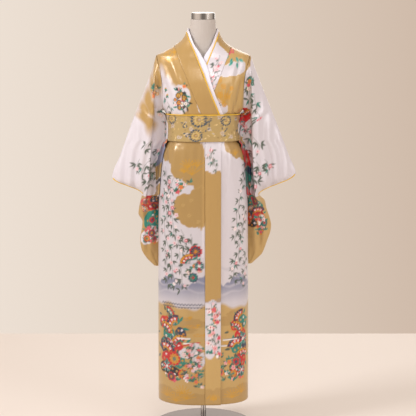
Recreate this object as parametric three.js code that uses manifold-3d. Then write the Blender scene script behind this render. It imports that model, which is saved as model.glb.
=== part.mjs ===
// A long-sleeved satin kimono with its sash, dressed on a limbless form on a round stand.
// Millimetres, +Z up. The wearer faces -Y, so the wearer's right is at -X. The origin is on the floor under the pole.
// Cloth is a wall a few millimetres thick. Every panel is a region of one body surface, named by an angle t round the
// body (0 the right side, PI/2 the front, PI the left side, 3*PI/2 the back) and a height z, moved out by its layer.
import * as THREE from "three";
import { mergeVertices } from "three/addons/utils/BufferGeometryUtils.js";
import Module from "manifold-3d";

const wasm = await Module();
wasm.setup();

// ---- driving dimensions ----
const HEM_Z = 130; // the hem's height over the floor
const SHOULDER_Z = 1555; // tip of the shoulder, where the sleeve starts
const NECK_SEAM_Z = 1588; // where the neckband is sewn to the back
const COLLAR_TOP_Z = 1645;
const WALL = 2; // a satin panel, drawn at the thickest a sheet of cloth is here
const BAND_WALL = 3; // the folded neckband
const BAND_WIDTH = 63; // the band down the front edge
const BAND_SLANT = 0.41; // how far the neckline moves sideways for each millimetre down
const BAND_SPAN = 69; // the band's width measured level, where it slants
const FRONT_EDGE_X = 71; // the free front edge, past the middle
const UNDER = 0; // outer face of the lower front and of the back
const OVER = 6; // outer face of the front that lies on top
const SEAM = 0.3; // gap kept between two sewn pieces
const ARMHOLE_LOW_Z = 1330;
const ARMHOLE_OPEN_Y = 52; // half the armhole's width, front to back
const SLEEVE_TOP_Z = 1552;
const SASH = { low: 1213, high: 1318, tilt: 0.07, inner: 8.9, outer: 11.9 };
const POLE_RADIUS = 10.5;
const FORM_LOW_Z = 895;
const CAP = { low: 1701, high: 1726, radius: 48 };
const BASE = { radius: 211, thick: 8, collarRadius: 21, collarHigh: 30 };

// Level sections of the worn kimono: half width, depth in front and behind, and how square the oval is.
const BODY = [
  { z: 90, wide: 188, front: 124, back: 124, square: 2.5 },
  { z: 400, wide: 187, front: 124, back: 124, square: 2.5 },
  { z: 713, wide: 185, front: 124, back: 124, square: 2.5 },
  { z: 985, wide: 181.5, front: 124, back: 122, square: 2.5 },
  { z: 1098, wide: 175, front: 122, back: 118, square: 2.45 },
  { z: 1145, wide: 168.5, front: 119, back: 114, square: 2.4 },
  { z: 1180, wide: 160, front: 116, back: 109, square: 2.35 },
  { z: 1200, wide: 149, front: 113, back: 104, square: 2.3 },
  { z: 1216, wide: 139, front: 111, back: 101, square: 2.3 },
  { z: 1262, wide: 136, front: 111, back: 100, square: 2.3 },
  { z: 1314, wide: 139, front: 112, back: 102, square: 2.3 },
  { z: 1330, wide: 154, front: 117, back: 106, square: 2.35 },
  { z: 1350, wide: 163, front: 121, back: 109, square: 2.35 },
  { z: 1400, wide: 170, front: 124, back: 112, square: 2.4 },
  { z: 1450, wide: 176, front: 120, back: 113, square: 2.4 },
  { z: 1500, wide: 182, front: 106, back: 111, square: 2.35 },
  { z: 1533, wide: 186, front: 90, back: 105, square: 2.3 },
  { z: 1555, wide: 187, front: 78, back: 99, square: 2.2 },
  { z: 1572, wide: 152, front: 72, back: 93, square: 2.1 },
  { z: 1588, wide: 118, front: 66, back: 87, square: 2 },
  { z: 1602, wide: 96, front: 63, back: 82, square: 2 },
  { z: 1620, wide: 79, front: 60, back: 76, square: 2 },
  { z: 1645, wide: 66, front: 57, back: 71, square: 2 },
  { z: 1665, wide: 62, front: 56, back: 69, square: 2 },
];

// Level sections of the dress form.
const FORM = [
  { z: 895, wide: 150, front: 92, back: 96, square: 2.3 },
  { z: 915, wide: 160, front: 98, back: 102, square: 2.3 },
  { z: 1040, wide: 163, front: 102, back: 106, square: 2.3 },
  { z: 1120, wide: 150, front: 98, back: 98, square: 2.2 },
  { z: 1200, wide: 126, front: 90, back: 84, square: 2.1 },
  { z: 1262, wide: 116, front: 88, back: 80, square: 2.1 },
  { z: 1330, wide: 124, front: 96, back: 86, square: 2.1 },
  { z: 1410, wide: 142, front: 112, back: 96, square: 2.2 },
  { z: 1480, wide: 152, front: 98, back: 98, square: 2.2 },
  { z: 1530, wide: 160, front: 74, back: 92, square: 2.2 },
  { z: 1548, wide: 158, front: 60, back: 84, square: 2.2 },
  { z: 1562, wide: 143, front: 56, back: 76, square: 2.1 },
  { z: 1578, wide: 110, front: 52, back: 66, square: 2 },
  { z: 1598, wide: 76, front: 50, back: 58, square: 2 },
  { z: 1620, wide: 60, front: 49, back: 54, square: 2 },
  { z: 1645, wide: 54, front: 49, back: 52, square: 2 },
  { z: 1700.7, wide: 49.5, front: 48, back: 50, square: 2 },
];

// Each sleeve's outline as seen from the front: the outer edge, which runs down the top fold to the wrist and then
// down the hanging bag, and the soft fold that parts the wing from the bag.
const SLEEVES = {
  right: {
    side: -1,
    wrist: { high: 1057, low: 993 },
    rows: [
      { z: 1552, out: 199, fold: 189 },
      { z: 1530, out: 203, fold: 191 },
      { z: 1500, out: 210, fold: 194 },
      { z: 1400, out: 246, fold: 199 },
      { z: 1300, out: 284, fold: 205 },
      { z: 1150, out: 338, fold: 215 },
      { z: 1057, out: 372, fold: 223 },
      { z: 993, out: 250, fold: 233 },
      { z: 960, out: 257, fold: 236 },
      { z: 926, out: 265, fold: 235 },
      { z: 900, out: 268, fold: 232 },
      { z: 866, out: 252, fold: 230 },
      { z: 836, out: 255, fold: 230 },
      { z: 792, out: 262, fold: 228 },
      { z: 750, out: 257, fold: 224 },
      { z: 712, out: 236, fold: 208 },
      { z: 680, out: 205, fold: 192 },
    ],
  },
  left: {
    side: 1,
    wrist: { high: 1074, low: 990 },
    rows: [
      { z: 1552, out: 202, fold: 190 },
      { z: 1530, out: 207, fold: 193 },
      { z: 1500, out: 216, fold: 195 },
      { z: 1400, out: 253, fold: 197 },
      { z: 1300, out: 292, fold: 199 },
      { z: 1150, out: 349, fold: 203 },
      { z: 1074, out: 378, fold: 206 },
      { z: 990, out: 230, fold: 212 },
      { z: 962, out: 252, fold: 224 },
      { z: 924, out: 261, fold: 228 },
      { z: 884, out: 274, fold: 230 },
      { z: 852, out: 281, fold: 231 },
      { z: 829, out: 279, fold: 230 },
      { z: 785, out: 265, fold: 226 },
      { z: 732, out: 245, fold: 214 },
      { z: 708, out: 222, fold: 202 },
      { z: 690, out: 203, fold: 192 },
    ],
  },
};
const HANG_CLEAR = 9; // how far a sleeve's two hanging edges keep from the body
const WAVE_LENGTH = 52; // spacing of the soft flutes across a sleeve
const WAVE_DEPTH = 7; // their depth at the wrist

const PAINT = {
  satin: { color: 0xd2a95c, roughness: 0.4, metalness: 0 },
  collar: { color: 0xe9e4ee, roughness: 0.6, metalness: 0 },
  piping: { color: 0xd9a92e, roughness: 0.45, metalness: 0 },
  sash: { color: 0xc9a050, roughness: 0.35, metalness: 0.1 },
  form: { color: 0xe6ddd4, roughness: 0.55, metalness: 0 },
  chrome: { color: 0xcfcfd2, roughness: 0.12, metalness: 1 },
  base: { color: 0xb3aaa4, roughness: 0.22, metalness: 0.9 },
};

// ---- sections ----

// A smooth value of one column at height z: cubic between rows, level where the rows turn.
function column(table, key, z) {
  const up = table[0].z < table[table.length - 1].z;
  const rows = up ? table : [...table].reverse();
  const last = rows.length - 1;
  if (z <= rows[0].z) return rows[0][key];
  if (z >= rows[last].z) return rows[last][key];
  let i = 0;
  while (rows[i + 1].z < z) i += 1;
  const rise = (k) => (rows[k + 1][key] - rows[k][key]) / (rows[k + 1].z - rows[k].z);
  const slope = (k) => {
    if (k <= 0) return rise(0);
    if (k >= last) return rise(last - 1);
    const below = rise(k - 1);
    const above = rise(k);
    return below * above <= 0 ? 0 : (2 * below * above) / (below + above);
  };
  const span = rows[i + 1].z - rows[i].z;
  const s = (z - rows[i].z) / span;
  const keep = s * s * (3 - 2 * s);
  const bendLow = s * (1 - s) * (1 - s) * span * slope(i);
  const bendHigh = -s * s * (1 - s) * span * slope(i + 1);
  return rows[i][key] * (1 - keep) + rows[i + 1][key] * keep + bendLow + bendHigh;
}

const smooth = (from, to, v) => {
  const s = Math.min(1, Math.max(0, (v - from) / (to - from)));
  return s * s * (3 - 2 * s);
};
const mix = (a, b, s) => a + (b - a) * s;

function section(table, t, z) {
  const power = 2 / column(table, "square", z);
  const wide = column(table, "wide", z);
  const c = Math.cos(t);
  const s = Math.sin(t);
  const deep = column(table, s >= 0 ? "front" : "back", z);
  return new THREE.Vector3(
    -wide * Math.sign(c) * Math.abs(c) ** power,
    -deep * Math.sign(s) * Math.abs(s) ** power,
    z,
  );
}

// A point of the body surface moved out along its normal.
function bodyPoint(t, z, out) {
  const p = section(BODY, t, z);
  if (out === 0) return p;
  const turn = section(BODY, t + 0.02, z).sub(section(BODY, t - 0.02, z));
  const rise = section(BODY, t, z + 2).sub(section(BODY, t, z - 2));
  return p.addScaledVector(turn.cross(rise).normalize(), out);
}

// The angle at which the front of the body surface has this x, and the angle at which its side has this y.
function angleAtX(x, z) {
  const share = Math.min(1, Math.abs(x) / column(BODY, "wide", z));
  const c = share ** (column(BODY, "square", z) / 2);
  return Math.acos(-Math.sign(x) * c);
}
function angleAtY(y, z, key) {
  const share = Math.min(1, Math.abs(y) / column(BODY, key, z));
  return Math.asin(share ** (column(BODY, "square", z) / 2));
}
// The body's half width where it is y behind its middle.
function widthAtY(y, z) {
  const square = column(BODY, "square", z);
  const share = Math.abs(y) / column(BODY, y < 0 ? "front" : "back", z);
  return column(BODY, "wide", z) * Math.max(0, 1 - share ** square) ** (1 / square);
}

// ---- solids ----

function geometryOf(points, faces) {
  const g = new THREE.BufferGeometry();
  g.setAttribute("position", new THREE.Float32BufferAttribute(points.flatMap((p) => [p.x, p.y, p.z]), 3));
  g.setIndex(faces);
  return g;
}
function solidOf(geometry) {
  const merged = mergeVertices(geometry, 1e-3);
  const triVerts = new Uint32Array(merged.index.array);
  const vertProperties = merged.attributes.position.array;
  const made = new wasm.Manifold(new wasm.Mesh({ numProp: 3, vertProperties, triVerts }));
  if (made.volume() >= 0) return made;
  for (let i = 0; i < triVerts.length; i += 3) {
    [triVerts[i + 1], triVerts[i + 2]] = [triVerts[i + 2], triVerts[i + 1]];
  }
  return new wasm.Manifold(new wasm.Mesh({ numProp: 3, vertProperties, triVerts }));
}
function geometryFrom(solid) {
  const largest = solid.decompose().sort((a, b) => b.volume() - a.volume())[0];
  const { vertProperties, triVerts, numProp } = largest.getMesh();
  const points = [];
  for (let i = 0; i < vertProperties.length; i += numProp) {
    points.push(new THREE.Vector3(vertProperties[i], vertProperties[i + 1], vertProperties[i + 2]));
  }
  return geometryOf(points, [...triVerts]);
}

// A wall of cloth: at(i, j) gives its outer and inner points on a grid of (columns + 1) x (rows + 1).
function sheet(columns, rows, at) {
  const outer = [];
  const inner = [];
  for (let j = 0; j <= rows; j += 1) {
    for (let i = 0; i <= columns; i += 1) {
      const [o, n] = at(i / columns, j);
      outer.push(o);
      inner.push(n);
    }
  }
  const count = outer.length;
  const id = (i, j) => j * (columns + 1) + i;
  const faces = [];
  const quad = (a, b, c, d) => faces.push(a, b, c, a, c, d);
  for (let j = 0; j < rows; j += 1) {
    for (let i = 0; i < columns; i += 1) {
      const [a, b, c, d] = [id(i, j), id(i + 1, j), id(i + 1, j + 1), id(i, j + 1)];
      quad(a, b, c, d);
      quad(count + d, count + c, count + b, count + a);
    }
  }
  for (let i = 0; i < columns; i += 1) {
    const [a, b, c, d] = [id(i, 0), id(i + 1, 0), id(i, rows), id(i + 1, rows)];
    quad(count + a, count + b, b, a);
    quad(c, d, count + d, count + c);
  }
  for (let j = 0; j < rows; j += 1) {
    const [a, b, c, d] = [id(0, j), id(0, j + 1), id(columns, j), id(columns, j + 1)];
    quad(a, b, count + b, count + a);
    quad(count + c, count + d, d, c);
  }
  return geometryFrom(solidOf(geometryOf([...outer, ...inner], faces)));
}

// A closed solid through level loops that all have the same number of points. Its two ends are closed by strips
// between the loop's first half and its second.
function stack(loops) {
  const n = loops[0].length;
  const faces = [];
  const quad = (a, b, c, d) => faces.push(a, b, c, a, c, d);
  for (let j = 0; j + 1 < loops.length; j += 1) {
    for (let i = 0; i < n; i += 1) {
      const [a, b] = [j * n + i, j * n + ((i + 1) % n)];
      quad(a, b, b + n, a + n);
    }
  }
  const top = (loops.length - 1) * n;
  for (let i = 0; 2 * i + 1 < n - 1; i += 1) {
    const [a, b, c, d] = [i, n - 1 - i, n - 2 - i, i + 1];
    if (d === c) {
      faces.push(a, b, c);
      faces.push(top + c, top + b, top + a);
    } else {
      quad(a, b, c, d);
      quad(top + d, top + c, top + b, top + a);
    }
  }
  return solidOf(geometryOf(loops.flat(), faces));
}

// ---- the kimono's panels ----

const PANEL_ROWS = [
  130, 300, 470, 640, 810, 930, 1030, 1098, 1145, 1180, 1200, 1216, 1262, 1314, 1330, 1350, 1400, 1438, 1475, 1505,
  1530, 1546, 1555, 1563, 1575, 1588,
];
const PANEL_COLUMNS = 8;

// The neckline's free edge and the neckband's seam, as x on the wearer's right.
const neckEdge = (z) => Math.min(FRONT_EDGE_X, -66 + BAND_SLANT * (COLLAR_TOP_Z - z));
const neckSeam = (z) => {
  const width = mix(BAND_WIDTH, BAND_SPAN, smooth(1200, 1330, z));
  return neckEdge(z) - width;
};

// Half the armhole's width at height z; the side seam runs below it and the shoulder seam above it.
function armhole(z) {
  const s = (z - ARMHOLE_LOW_Z) / (SHOULDER_Z - ARMHOLE_LOW_Z);
  if (s <= 0 || s >= 1) return 0;
  return ARMHOLE_OPEN_Y * Math.sin(Math.PI * s) ** 0.6;
}
const sideEdge = (z, key) => angleAtY(armhole(z) + SEAM / 2 + 0.1, z, key);

// How far out the top front lies: level with the back at the side, over the lower front in the middle.
function overOffset(x, z) {
  return OVER * smooth(-165, -88, x) * smooth(1636, 1556, z);
}

function frontPanel(side) {
  return sheet(PANEL_COLUMNS, PANEL_ROWS.length - 1, (u, j) => {
    const z = PANEL_ROWS[j];
    const from = sideEdge(z, "front");
    const to = angleAtX(neckSeam(z) - SEAM, z);
    const t = mix(from, Math.max(to, from + 0.03), u);
    const place = side < 0 ? t : Math.PI - t;
    const out = side < 0 ? overOffset(section(BODY, t, z).x, z) : UNDER;
    return [bodyPoint(place, z, out), bodyPoint(place, z, out - WALL)];
  });
}

function backPanel(side) {
  return sheet(PANEL_COLUMNS, PANEL_ROWS.length - 1, (u, j) => {
    const z = PANEL_ROWS[j];
    const from = sideEdge(z, "back");
    const share = (SEAM / 2 / column(BODY, "wide", z)) ** (column(BODY, "square", z) / 2);
    const t = mix(from, Math.acos(share), u);
    const place = side < 0 ? -t : Math.PI + t;
    return [bodyPoint(place, z, UNDER), bodyPoint(place, z, UNDER - WALL)];
  });
}

// ---- bands along the front edge and round the neck ----

// Rulings across the neckband on the wearer's right: the free edge's place and the seam's, from the hem up to the
// side of the neck and then round to the middle of the back.
function bandRulings(low) {
  const rows = [130, 300, 470, 640, 810, 930, 1030, 1098, 1145, 1180, 1200, 1216, 1262, 1314, 1330, 1350, 1400, 1438]
    .filter((z) => z >= low)
    .map((z) => ({ edge: z, seam: z }));
  for (const [edge, seam] of [[1476, 1472], [1508, 1500], [1540, 1524], [1572, 1545], [1600, 1563], [1625, 1578]]) {
    rows.push({ edge, seam });
  }
  const front = rows.map(({ edge, seam }) => ({
    edge: { t: angleAtX(neckEdge(edge), edge), z: edge },
    seam: { t: angleAtX(neckSeam(seam), seam), z: seam },
  }));
  const seamEnd = angleAtX(neckSeam(NECK_SEAM_Z), NECK_SEAM_Z);
  const round = [0, 0.05, 0.2, 0.4, 0.6, 0.8, 1].map((s) => ({
    edge: { t: mix(0.0, -Math.PI / 2 + 0.0035, s), z: COLLAR_TOP_Z - 4 * s },
    seam: { t: mix(seamEnd, -Math.PI / 2 + 0.0035, smooth(0, 1, s) ** 0.6), z: NECK_SEAM_Z + SEAM + 0.2 },
  }));
  return [...front, ...round];
}

// A strip that follows the neckband. across lists its columns, from the free edge (0) to the seam (1); values under 0
// lie past the free edge. lift gives its inner and outer face over the body surface.
function band({ side, low, across, lift }) {
  const rulings = bandRulings(low);
  const cells = across.length - 1;
  return sheet(cells, rulings.length - 1, (u, j) => {
    const { edge, seam } = rulings[j];
    const v = across[Math.round(u * cells)];
    const t = mix(edge.t, seam.t, v);
    const z = mix(edge.z, seam.z, v);
    const place = side < 0 ? t : Math.PI - t;
    const [inner, outer] = lift(z, t);
    return [bodyPoint(place, z, outer), bodyPoint(place, z, inner)];
  });
}

// The top side's band sinks to the other's level at the back of the neck.
const overLift = (z, t) => (OVER - WALL) * smooth(1643, 1580, z) * smooth(-0.9, 0.5, t);
const bandLift = { right: (z, t) => [overLift(z, t) - 0, overLift(z, t) + BAND_WALL], left: () => [-2.6, 0.4] };
const innerLift = { right: (z, t) => [overLift(z, t) - 2.8, overLift(z, t) - 0.9], left: () => [-5.6, -3.7] };
const pipeLift = { right: (z, t) => [overLift(z, t) + 0.3, overLift(z, t) + 2.5], left: () => [-2.2, 0.2] };

// ---- sleeves ----

const SLEEVE_STEPS = [2, 2, 3, 4, 4, 5, 3, 2];

// The level section of a sleeve, as points (out, y) from its inner front edge round the outer fold to its inner back
// edge. The ends lie on the armhole down to its foot and hang clear of the body below it.
function sleeveLine(sleeve, z) {
  const out = column(sleeve.rows, "out", z);
  const fold = column(sleeve.rows, "fold", z);
  const hang = smooth(ARMHOLE_LOW_Z + 4, ARMHOLE_LOW_Z - 55, z);
  const bag = smooth(sleeve.wrist.low + 12, sleeve.wrist.low - 75, z); // 1 where only the hanging bag is left
  const top = smooth(SLEEVE_TOP_Z - 110, SLEEVE_TOP_Z, z);
  const open = Math.max(armhole(z), 3);
  const hole = (key, sign) => ({ x: -section(BODY, angleAtY(open - 0.4, z, key) * -sign, z).x, y: sign * open });
  const free = (y, least) => ({ x: Math.max(widthAtY(y, Math.min(z, 1262)) + HANG_CLEAR, least), y });
  const blend = (a, b, s) => ({ x: mix(a.x, b.x, s), y: mix(a.y, b.y, s) });
  const front = blend(hole("front", -1), free(mix(-46, 56, bag), 160), hang);
  const back = blend(hole("back", 1), free(94, 118), hang);
  const foldY = mix(mix(-56, -14, top), mix(22, 40, smooth(900, 720, z)), bag);
  const dipY = mix(mix(mix(front.y, -30, 0.5), mix(front.y, foldY, 0.7), bag), front.y, top);
  const tipY = mix(0, 50, bag);
  return [
    front,
    { x: mix(front.x, fold, 0.4), y: dipY },
    { x: mix(front.x, fold, 0.75), y: mix(dipY, foldY, 0.3) },
    { x: mix(front.x, fold, 1), y: foldY },
    { x: mix(fold, out, 0.5), y: mix(foldY, tipY, mix(0.4, 0.12, bag)) },
    { x: out, y: tipY },
    { x: mix(out, back.x, 0.4), y: mix(mix(42, 16, top), 70, bag) },
    { x: mix(out, back.x, 0.8), y: mix(mix(56, 13, top), 86, Math.max(bag, hang * 0.6)) },
    back,
  ];
}

function sleeveLoop(sleeve, z, shrink, reachOut, reachIn) {
  const line = sleeveLine(sleeve, z);
  const curve = new THREE.CatmullRomCurve3(line.map((p) => new THREE.Vector3(p.x, p.y, 0)), false, "centripetal");
  const samples = [];
  const spans = line.length - 1;
  SLEEVE_STEPS.forEach((count, k) => {
    for (let i = 0; i < count; i += 1) samples.push(curve.getPoint((k + i / count) / spans));
  });
  samples.push(curve.getPoint(1));
  const depth = WAVE_DEPTH * smooth(SLEEVE_TOP_Z - 60, sleeve.wrist.high, z) * smooth(690, 800, z);
  const out = column(sleeve.rows, "out", z);
  const inX = line[0].x;
  const keep = mix(1.5, 14.5, smooth(1180, 1202, z) * smooth(1345, 1326, z)); // further out where the sash lies
  const waved = samples.map((p, i) => {
    const share = (p.x - inX) / (out - inX);
    const fade = Math.max(0, Math.sin(Math.PI * Math.min(1, Math.max(0, share)))) ** 0.7;
    const lean = ((SLEEVE_TOP_Z - z) * (p.x - 200)) / 2400;
    const y = p.y + depth * 0.5 * fade * Math.sin((2 * Math.PI * (p.x - inX + lean)) / WAVE_LENGTH);
    const sewn = armhole(z) > 12 && (i === 0 || i === samples.length - 1);
    return new THREE.Vector2(Math.max(p.x, widthAtY(y, z) + (sewn ? 0 : keep)), y);
  });
  const moved = waved.map((p, i) => {
    const a = waved[Math.max(0, i - 1)];
    const b = waved[Math.min(waved.length - 1, i + 1)];
    const along = b.clone().sub(a).normalize();
    return new THREE.Vector2(p.x - along.y * shrink, p.y + along.x * shrink);
  });
  if (reachOut) {
    moved.forEach((p) => {
      if (p.x > out - 25) p.x += reachOut * ((p.x - out + 25) / 25);
    });
  }
  if (reachIn) {
    const last = moved.length - 1;
    moved[0].x -= reachIn;
    moved[last].x -= reachIn;
  }
  return moved.map((p) => new THREE.Vector3(sleeve.side * p.x, p.y, z));
}

function sleeveRows(sleeve) {
  const { high, low } = sleeve.wrist;
  const foot = sleeve.rows[sleeve.rows.length - 1].z;
  const above = [SLEEVE_TOP_Z, 1530, 1505, 1475, 1438, 1400, 1350, 1330, 1314, 1262, 1200, 1145, 1098, high];
  const below = [mix(high, low, 0.5), low, low - 3, low - 42, low - 85, low - 118];
  const bag = [low - 155, 800, 760, 720].filter((z) => z > foot + 8 && z < low - 140);
  return [...above, ...below, ...bag, foot];
}

function sleeveSolids(sleeve) {
  const rows = sleeveRows(sleeve);
  const { high, low } = sleeve.wrist;
  const foot = rows[rows.length - 1];
  const outer = stack(rows.map((z) => sleeveLoop(sleeve, z, 0, 0, 0)));
  const hollow = rows.map((z) => {
    const level = z === SLEEVE_TOP_Z ? z - 3 : z === foot ? z + 2.5 : z;
    const isWrist = z < high && z >= low;
    return sleeveLoop(sleeve, level, z === SLEEVE_TOP_Z ? 1.3 : WALL, isWrist ? 9 : 0, 9);
  });
  const cloth = outer.subtract(stack(hollow)).simplify(0.06);
  // The wrist's trim is the slice of a thin skin over the sleeve that lies along the slanted wrist edge.
  const skin = stack(rows.map((z) => sleeveLoop(sleeve, z, -1.6, 0, 0)));
  const clear = stack(rows.map((z) => sleeveLoop(sleeve, z, -SEAM, 0, 0)));
  const tip = new THREE.Vector2(column(sleeve.rows, "out", high), high);
  const heel = new THREE.Vector2(column(sleeve.rows, "out", low), low);
  const along = heel.clone().sub(tip).normalize();
  const length = heel.distanceTo(tip);
  const shape = new THREE.Shape();
  const rise = new THREE.Vector2(-along.y, along.x).multiplyScalar(along.x < 0 ? -1 : 1);
  const corners = [
    tip.clone().addScaledVector(along, -4).addScaledVector(rise, -1.5),
    tip.clone().addScaledVector(along, length - 2).addScaledVector(rise, -1.5),
    tip.clone().addScaledVector(along, length - 2).addScaledVector(rise, 4),
    tip.clone().addScaledVector(along, -4).addScaledVector(rise, 4),
  ];
  shape.setFromPoints(corners.map((p) => new THREE.Vector2(sleeve.side * p.x, p.y)));
  const slice = new THREE.ExtrudeGeometry(shape, { depth: 200, bevelEnabled: false });
  slice.rotateX(Math.PI / 2).translate(0, 100, 0);
  slice.deleteAttribute("normal");
  slice.deleteAttribute("uv");
  const trim = skin.subtract(clear).intersect(solidOf(slice)).simplify(0.05);
  return { cloth: geometryFrom(cloth), trim: geometryFrom(trim) };
}

// ---- the sash ----

// A closed band round the waist between heights over the body surface, its front a little higher than its back.
function sashBand(heights, inner, outer) {
  const around = 48;
  const ring = (z, out) =>
    Array.from({ length: around }, (_, i) => {
      const t = (2 * Math.PI * i) / around;
      const level = z - SASH.tilt * section(BODY, t, z).y;
      return bodyPoint(t, level, out).setZ(level);
    });
  const rings = [...heights.map((z) => ring(z, outer)), ...[...heights].reverse().map((z) => ring(z, inner))];
  const faces = [];
  rings.forEach((_, k) => {
    const next = (k + 1) % rings.length;
    for (let i = 0; i < around; i += 1) {
      const j = (i + 1) % around;
      const [a, b, c, d] = [k * around + i, k * around + j, next * around + j, next * around + i];
      faces.push(a, b, c, a, c, d);
    }
  });
  return geometryFrom(solidOf(geometryOf(rings.flat(), faces)));
}

// ---- the form and its stand ----

function formTorso() {
  const around = 32;
  const loops = FORM.map(({ z }) =>
    Array.from({ length: around }, (_, i) => section(FORM, (2 * Math.PI * i) / around, z)),
  );
  return geometryFrom(stack(loops));
}
function turned(profile, sides) {
  const g = new THREE.LatheGeometry(profile.map(([r, z]) => new THREE.Vector2(r, z)), sides);
  return g.rotateX(Math.PI / 2);
}

// ---- the scene ----

const kimono = new THREE.Group();
function add(name, geometry, paint) {
  const mesh = new THREE.Mesh(geometry, new THREE.MeshStandardMaterial(PAINT[paint]));
  mesh.name = name;
  kimono.add(mesh);
}

add("front_right", frontPanel(-1), "satin");
add("front_left", frontPanel(1), "satin");
add("back_right", backPanel(-1), "satin");
add("back_left", backPanel(1), "satin");
for (const [name, side] of [["right", -1], ["left", 1]]) {
  const lift = bandLift[name];
  add(`front_band_${name}`, band({ side, low: HEM_Z, across: [0, 0.33, 0.66, 0.994], lift }), "satin");
  const white = { side, low: 1314, across: [-0.32, -0.16, 0, 0.33], lift: innerLift[name] };
  add(`inner_collar_${name}`, band(white), "collar");
  const cord = { side, low: 1330, across: [-0.07, -0.018], lift: pipeLift[name] };
  add(`neck_piping_${name}`, band(cord), "piping");
  const { cloth, trim } = sleeveSolids(SLEEVES[name]);
  add(`sleeve_${name}`, cloth, "satin");
  add(`cuff_trim_${name}`, trim, "piping");
}
add("sash", sashBand([SASH.low, 1262, SASH.high], SASH.inner, SASH.outer), "sash");
add("sash_top_cord", sashBand([SASH.high + SEAM, SASH.high + 4.5], SASH.inner, SASH.outer + 1), "piping");
add("form_torso", formTorso(), "form");
const cap = [
  [0, CAP.low],
  [CAP.radius - 1, CAP.low],
  [CAP.radius, CAP.low + 1],
  [CAP.radius, CAP.high - 2],
  [CAP.radius - 2, CAP.high],
  [0, CAP.high],
];
add("neck_cap", turned(cap, 40), "chrome");
const pole = [
  [0, BASE.collarHigh + SEAM],
  [POLE_RADIUS, BASE.collarHigh + SEAM],
  [POLE_RADIUS, FORM_LOW_Z - SEAM],
  [0, FORM_LOW_Z - SEAM],
];
add("pole", turned(pole, 20), "chrome");
const base = [
  [0, 0],
  [BASE.radius - 1.5, 0],
  [BASE.radius, 1.5],
  [BASE.radius, BASE.thick - 2.5],
  [BASE.radius - 2.5, BASE.thick],
  [BASE.collarRadius, BASE.thick],
  [BASE.collarRadius - 3, BASE.collarHigh],
  [0, BASE.collarHigh],
];
add("base", turned(base, 56), "base");

export default kimono;
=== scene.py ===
"""A long-sleeved satin kimono with a brocade sash, dressed on a limbless form, with its print, creases and sewing.

The scene is in metres, with +Z up and the wearer facing -Y. Cloth is worked out in millimetres from level sections, as
grids moved out along their normals.
"""

import math
from contextlib import contextmanager

import bmesh
import bpy
import numpy as np
from bpy.props import FloatProperty, FloatVectorProperty, PointerProperty
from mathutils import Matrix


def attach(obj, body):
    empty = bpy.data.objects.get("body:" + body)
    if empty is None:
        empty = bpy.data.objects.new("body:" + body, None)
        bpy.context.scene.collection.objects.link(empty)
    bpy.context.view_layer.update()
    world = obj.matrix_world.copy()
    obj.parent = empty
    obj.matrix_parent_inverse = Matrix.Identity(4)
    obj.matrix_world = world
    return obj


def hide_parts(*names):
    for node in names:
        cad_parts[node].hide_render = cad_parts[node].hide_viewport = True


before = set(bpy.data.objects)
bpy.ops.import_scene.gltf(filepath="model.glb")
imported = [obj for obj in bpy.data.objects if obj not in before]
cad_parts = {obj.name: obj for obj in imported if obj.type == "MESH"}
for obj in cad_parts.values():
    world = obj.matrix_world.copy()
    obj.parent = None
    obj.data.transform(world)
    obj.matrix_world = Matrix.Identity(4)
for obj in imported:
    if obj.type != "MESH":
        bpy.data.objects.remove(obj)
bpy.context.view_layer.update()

bl_info = {
    "name": "Kimono on a dress form",
    "version": (1, 0, 0),
    "blender": (4, 5, 0),
    "location": "3D View > Sidebar > Kimono",
    "description": "Sews, prints and dresses a kimono over its frame",
    "category": "Object",
}

# Sizes of the cloth, in millimetres. z is the height over the floor.
MM = 0.001
HEM_Z = 130
WAIST_Z = 1290  # under the sash, where the chest's print takes over from the skirt's
SHOULDER_Z = 1555
NECK_SEAM_Z = 1588
COLLAR_TOP_Z = 1645
COLLAR_LOW_Z = 1314  # where the inner collar ends, under the sash
PIPING_LOW_Z = 1330
BAND_WIDTH = 63
BAND_SPAN = 69  # the band's width seen from in front, where it slants up the chest
BAND_SLANT = 0.41  # how far its edge goes across for each step up
BAND_BEND = [  # heights of the free edge and of the seam, where the band turns round the neck
    (1438, 1438), (1476, 1472), (1508, 1500), (1540, 1524), (1572, 1545), (1600, 1563), (1625, 1578)
]
BACK_RULINGS = 26  # lines across the band, from the side of the neck to the middle of the back
FRONT_EDGE_X = 71
OVER = 6  # how far the upper front stands out over the under one
ARMHOLE_LOW_Z = 1330
ARMHOLE_OPEN_Y = 52
SLEEVE_TOP_Z = 1552
BAG_TOP_Z = 985  # where the print of the hanging bag begins
SLEEVE_COUNTS = [10, 8, 10, 26, 26, 26, 18, 10]  # points on each span of a sleeve's level line
TIP = sum(SLEEVE_COUNTS[:5])  # the point on that line where the front turns into the back
CREST = (1.45, 1.1, 0.7, 0.35)  # angles of the rows that round off a sleeve's top
CREST_RISE = 3.5  # how far they go up
SASH = {"low": 1213, "high": 1318, "tilt": 0.07, "out": 11.9, "points": 240, "rows": 34}
HANG_CLEAR = 4  # least room between a hanging sleeve and the body
WAVE_LENGTH = 52  # of the sleeves' upright folds
WAVE_DEPTH = 12  # from a fold's ridge to its valley
TRIM_INSET = 5.0  # from a sleeve's outer edge to the middle of its wrist trim
WRIST_CUT = 5.5  # how far inside that edge the cloth ends at the wrist
CORD_SIDES = 8
MERGE = 0.0002  # metres between points that are closed up on a cord

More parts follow.
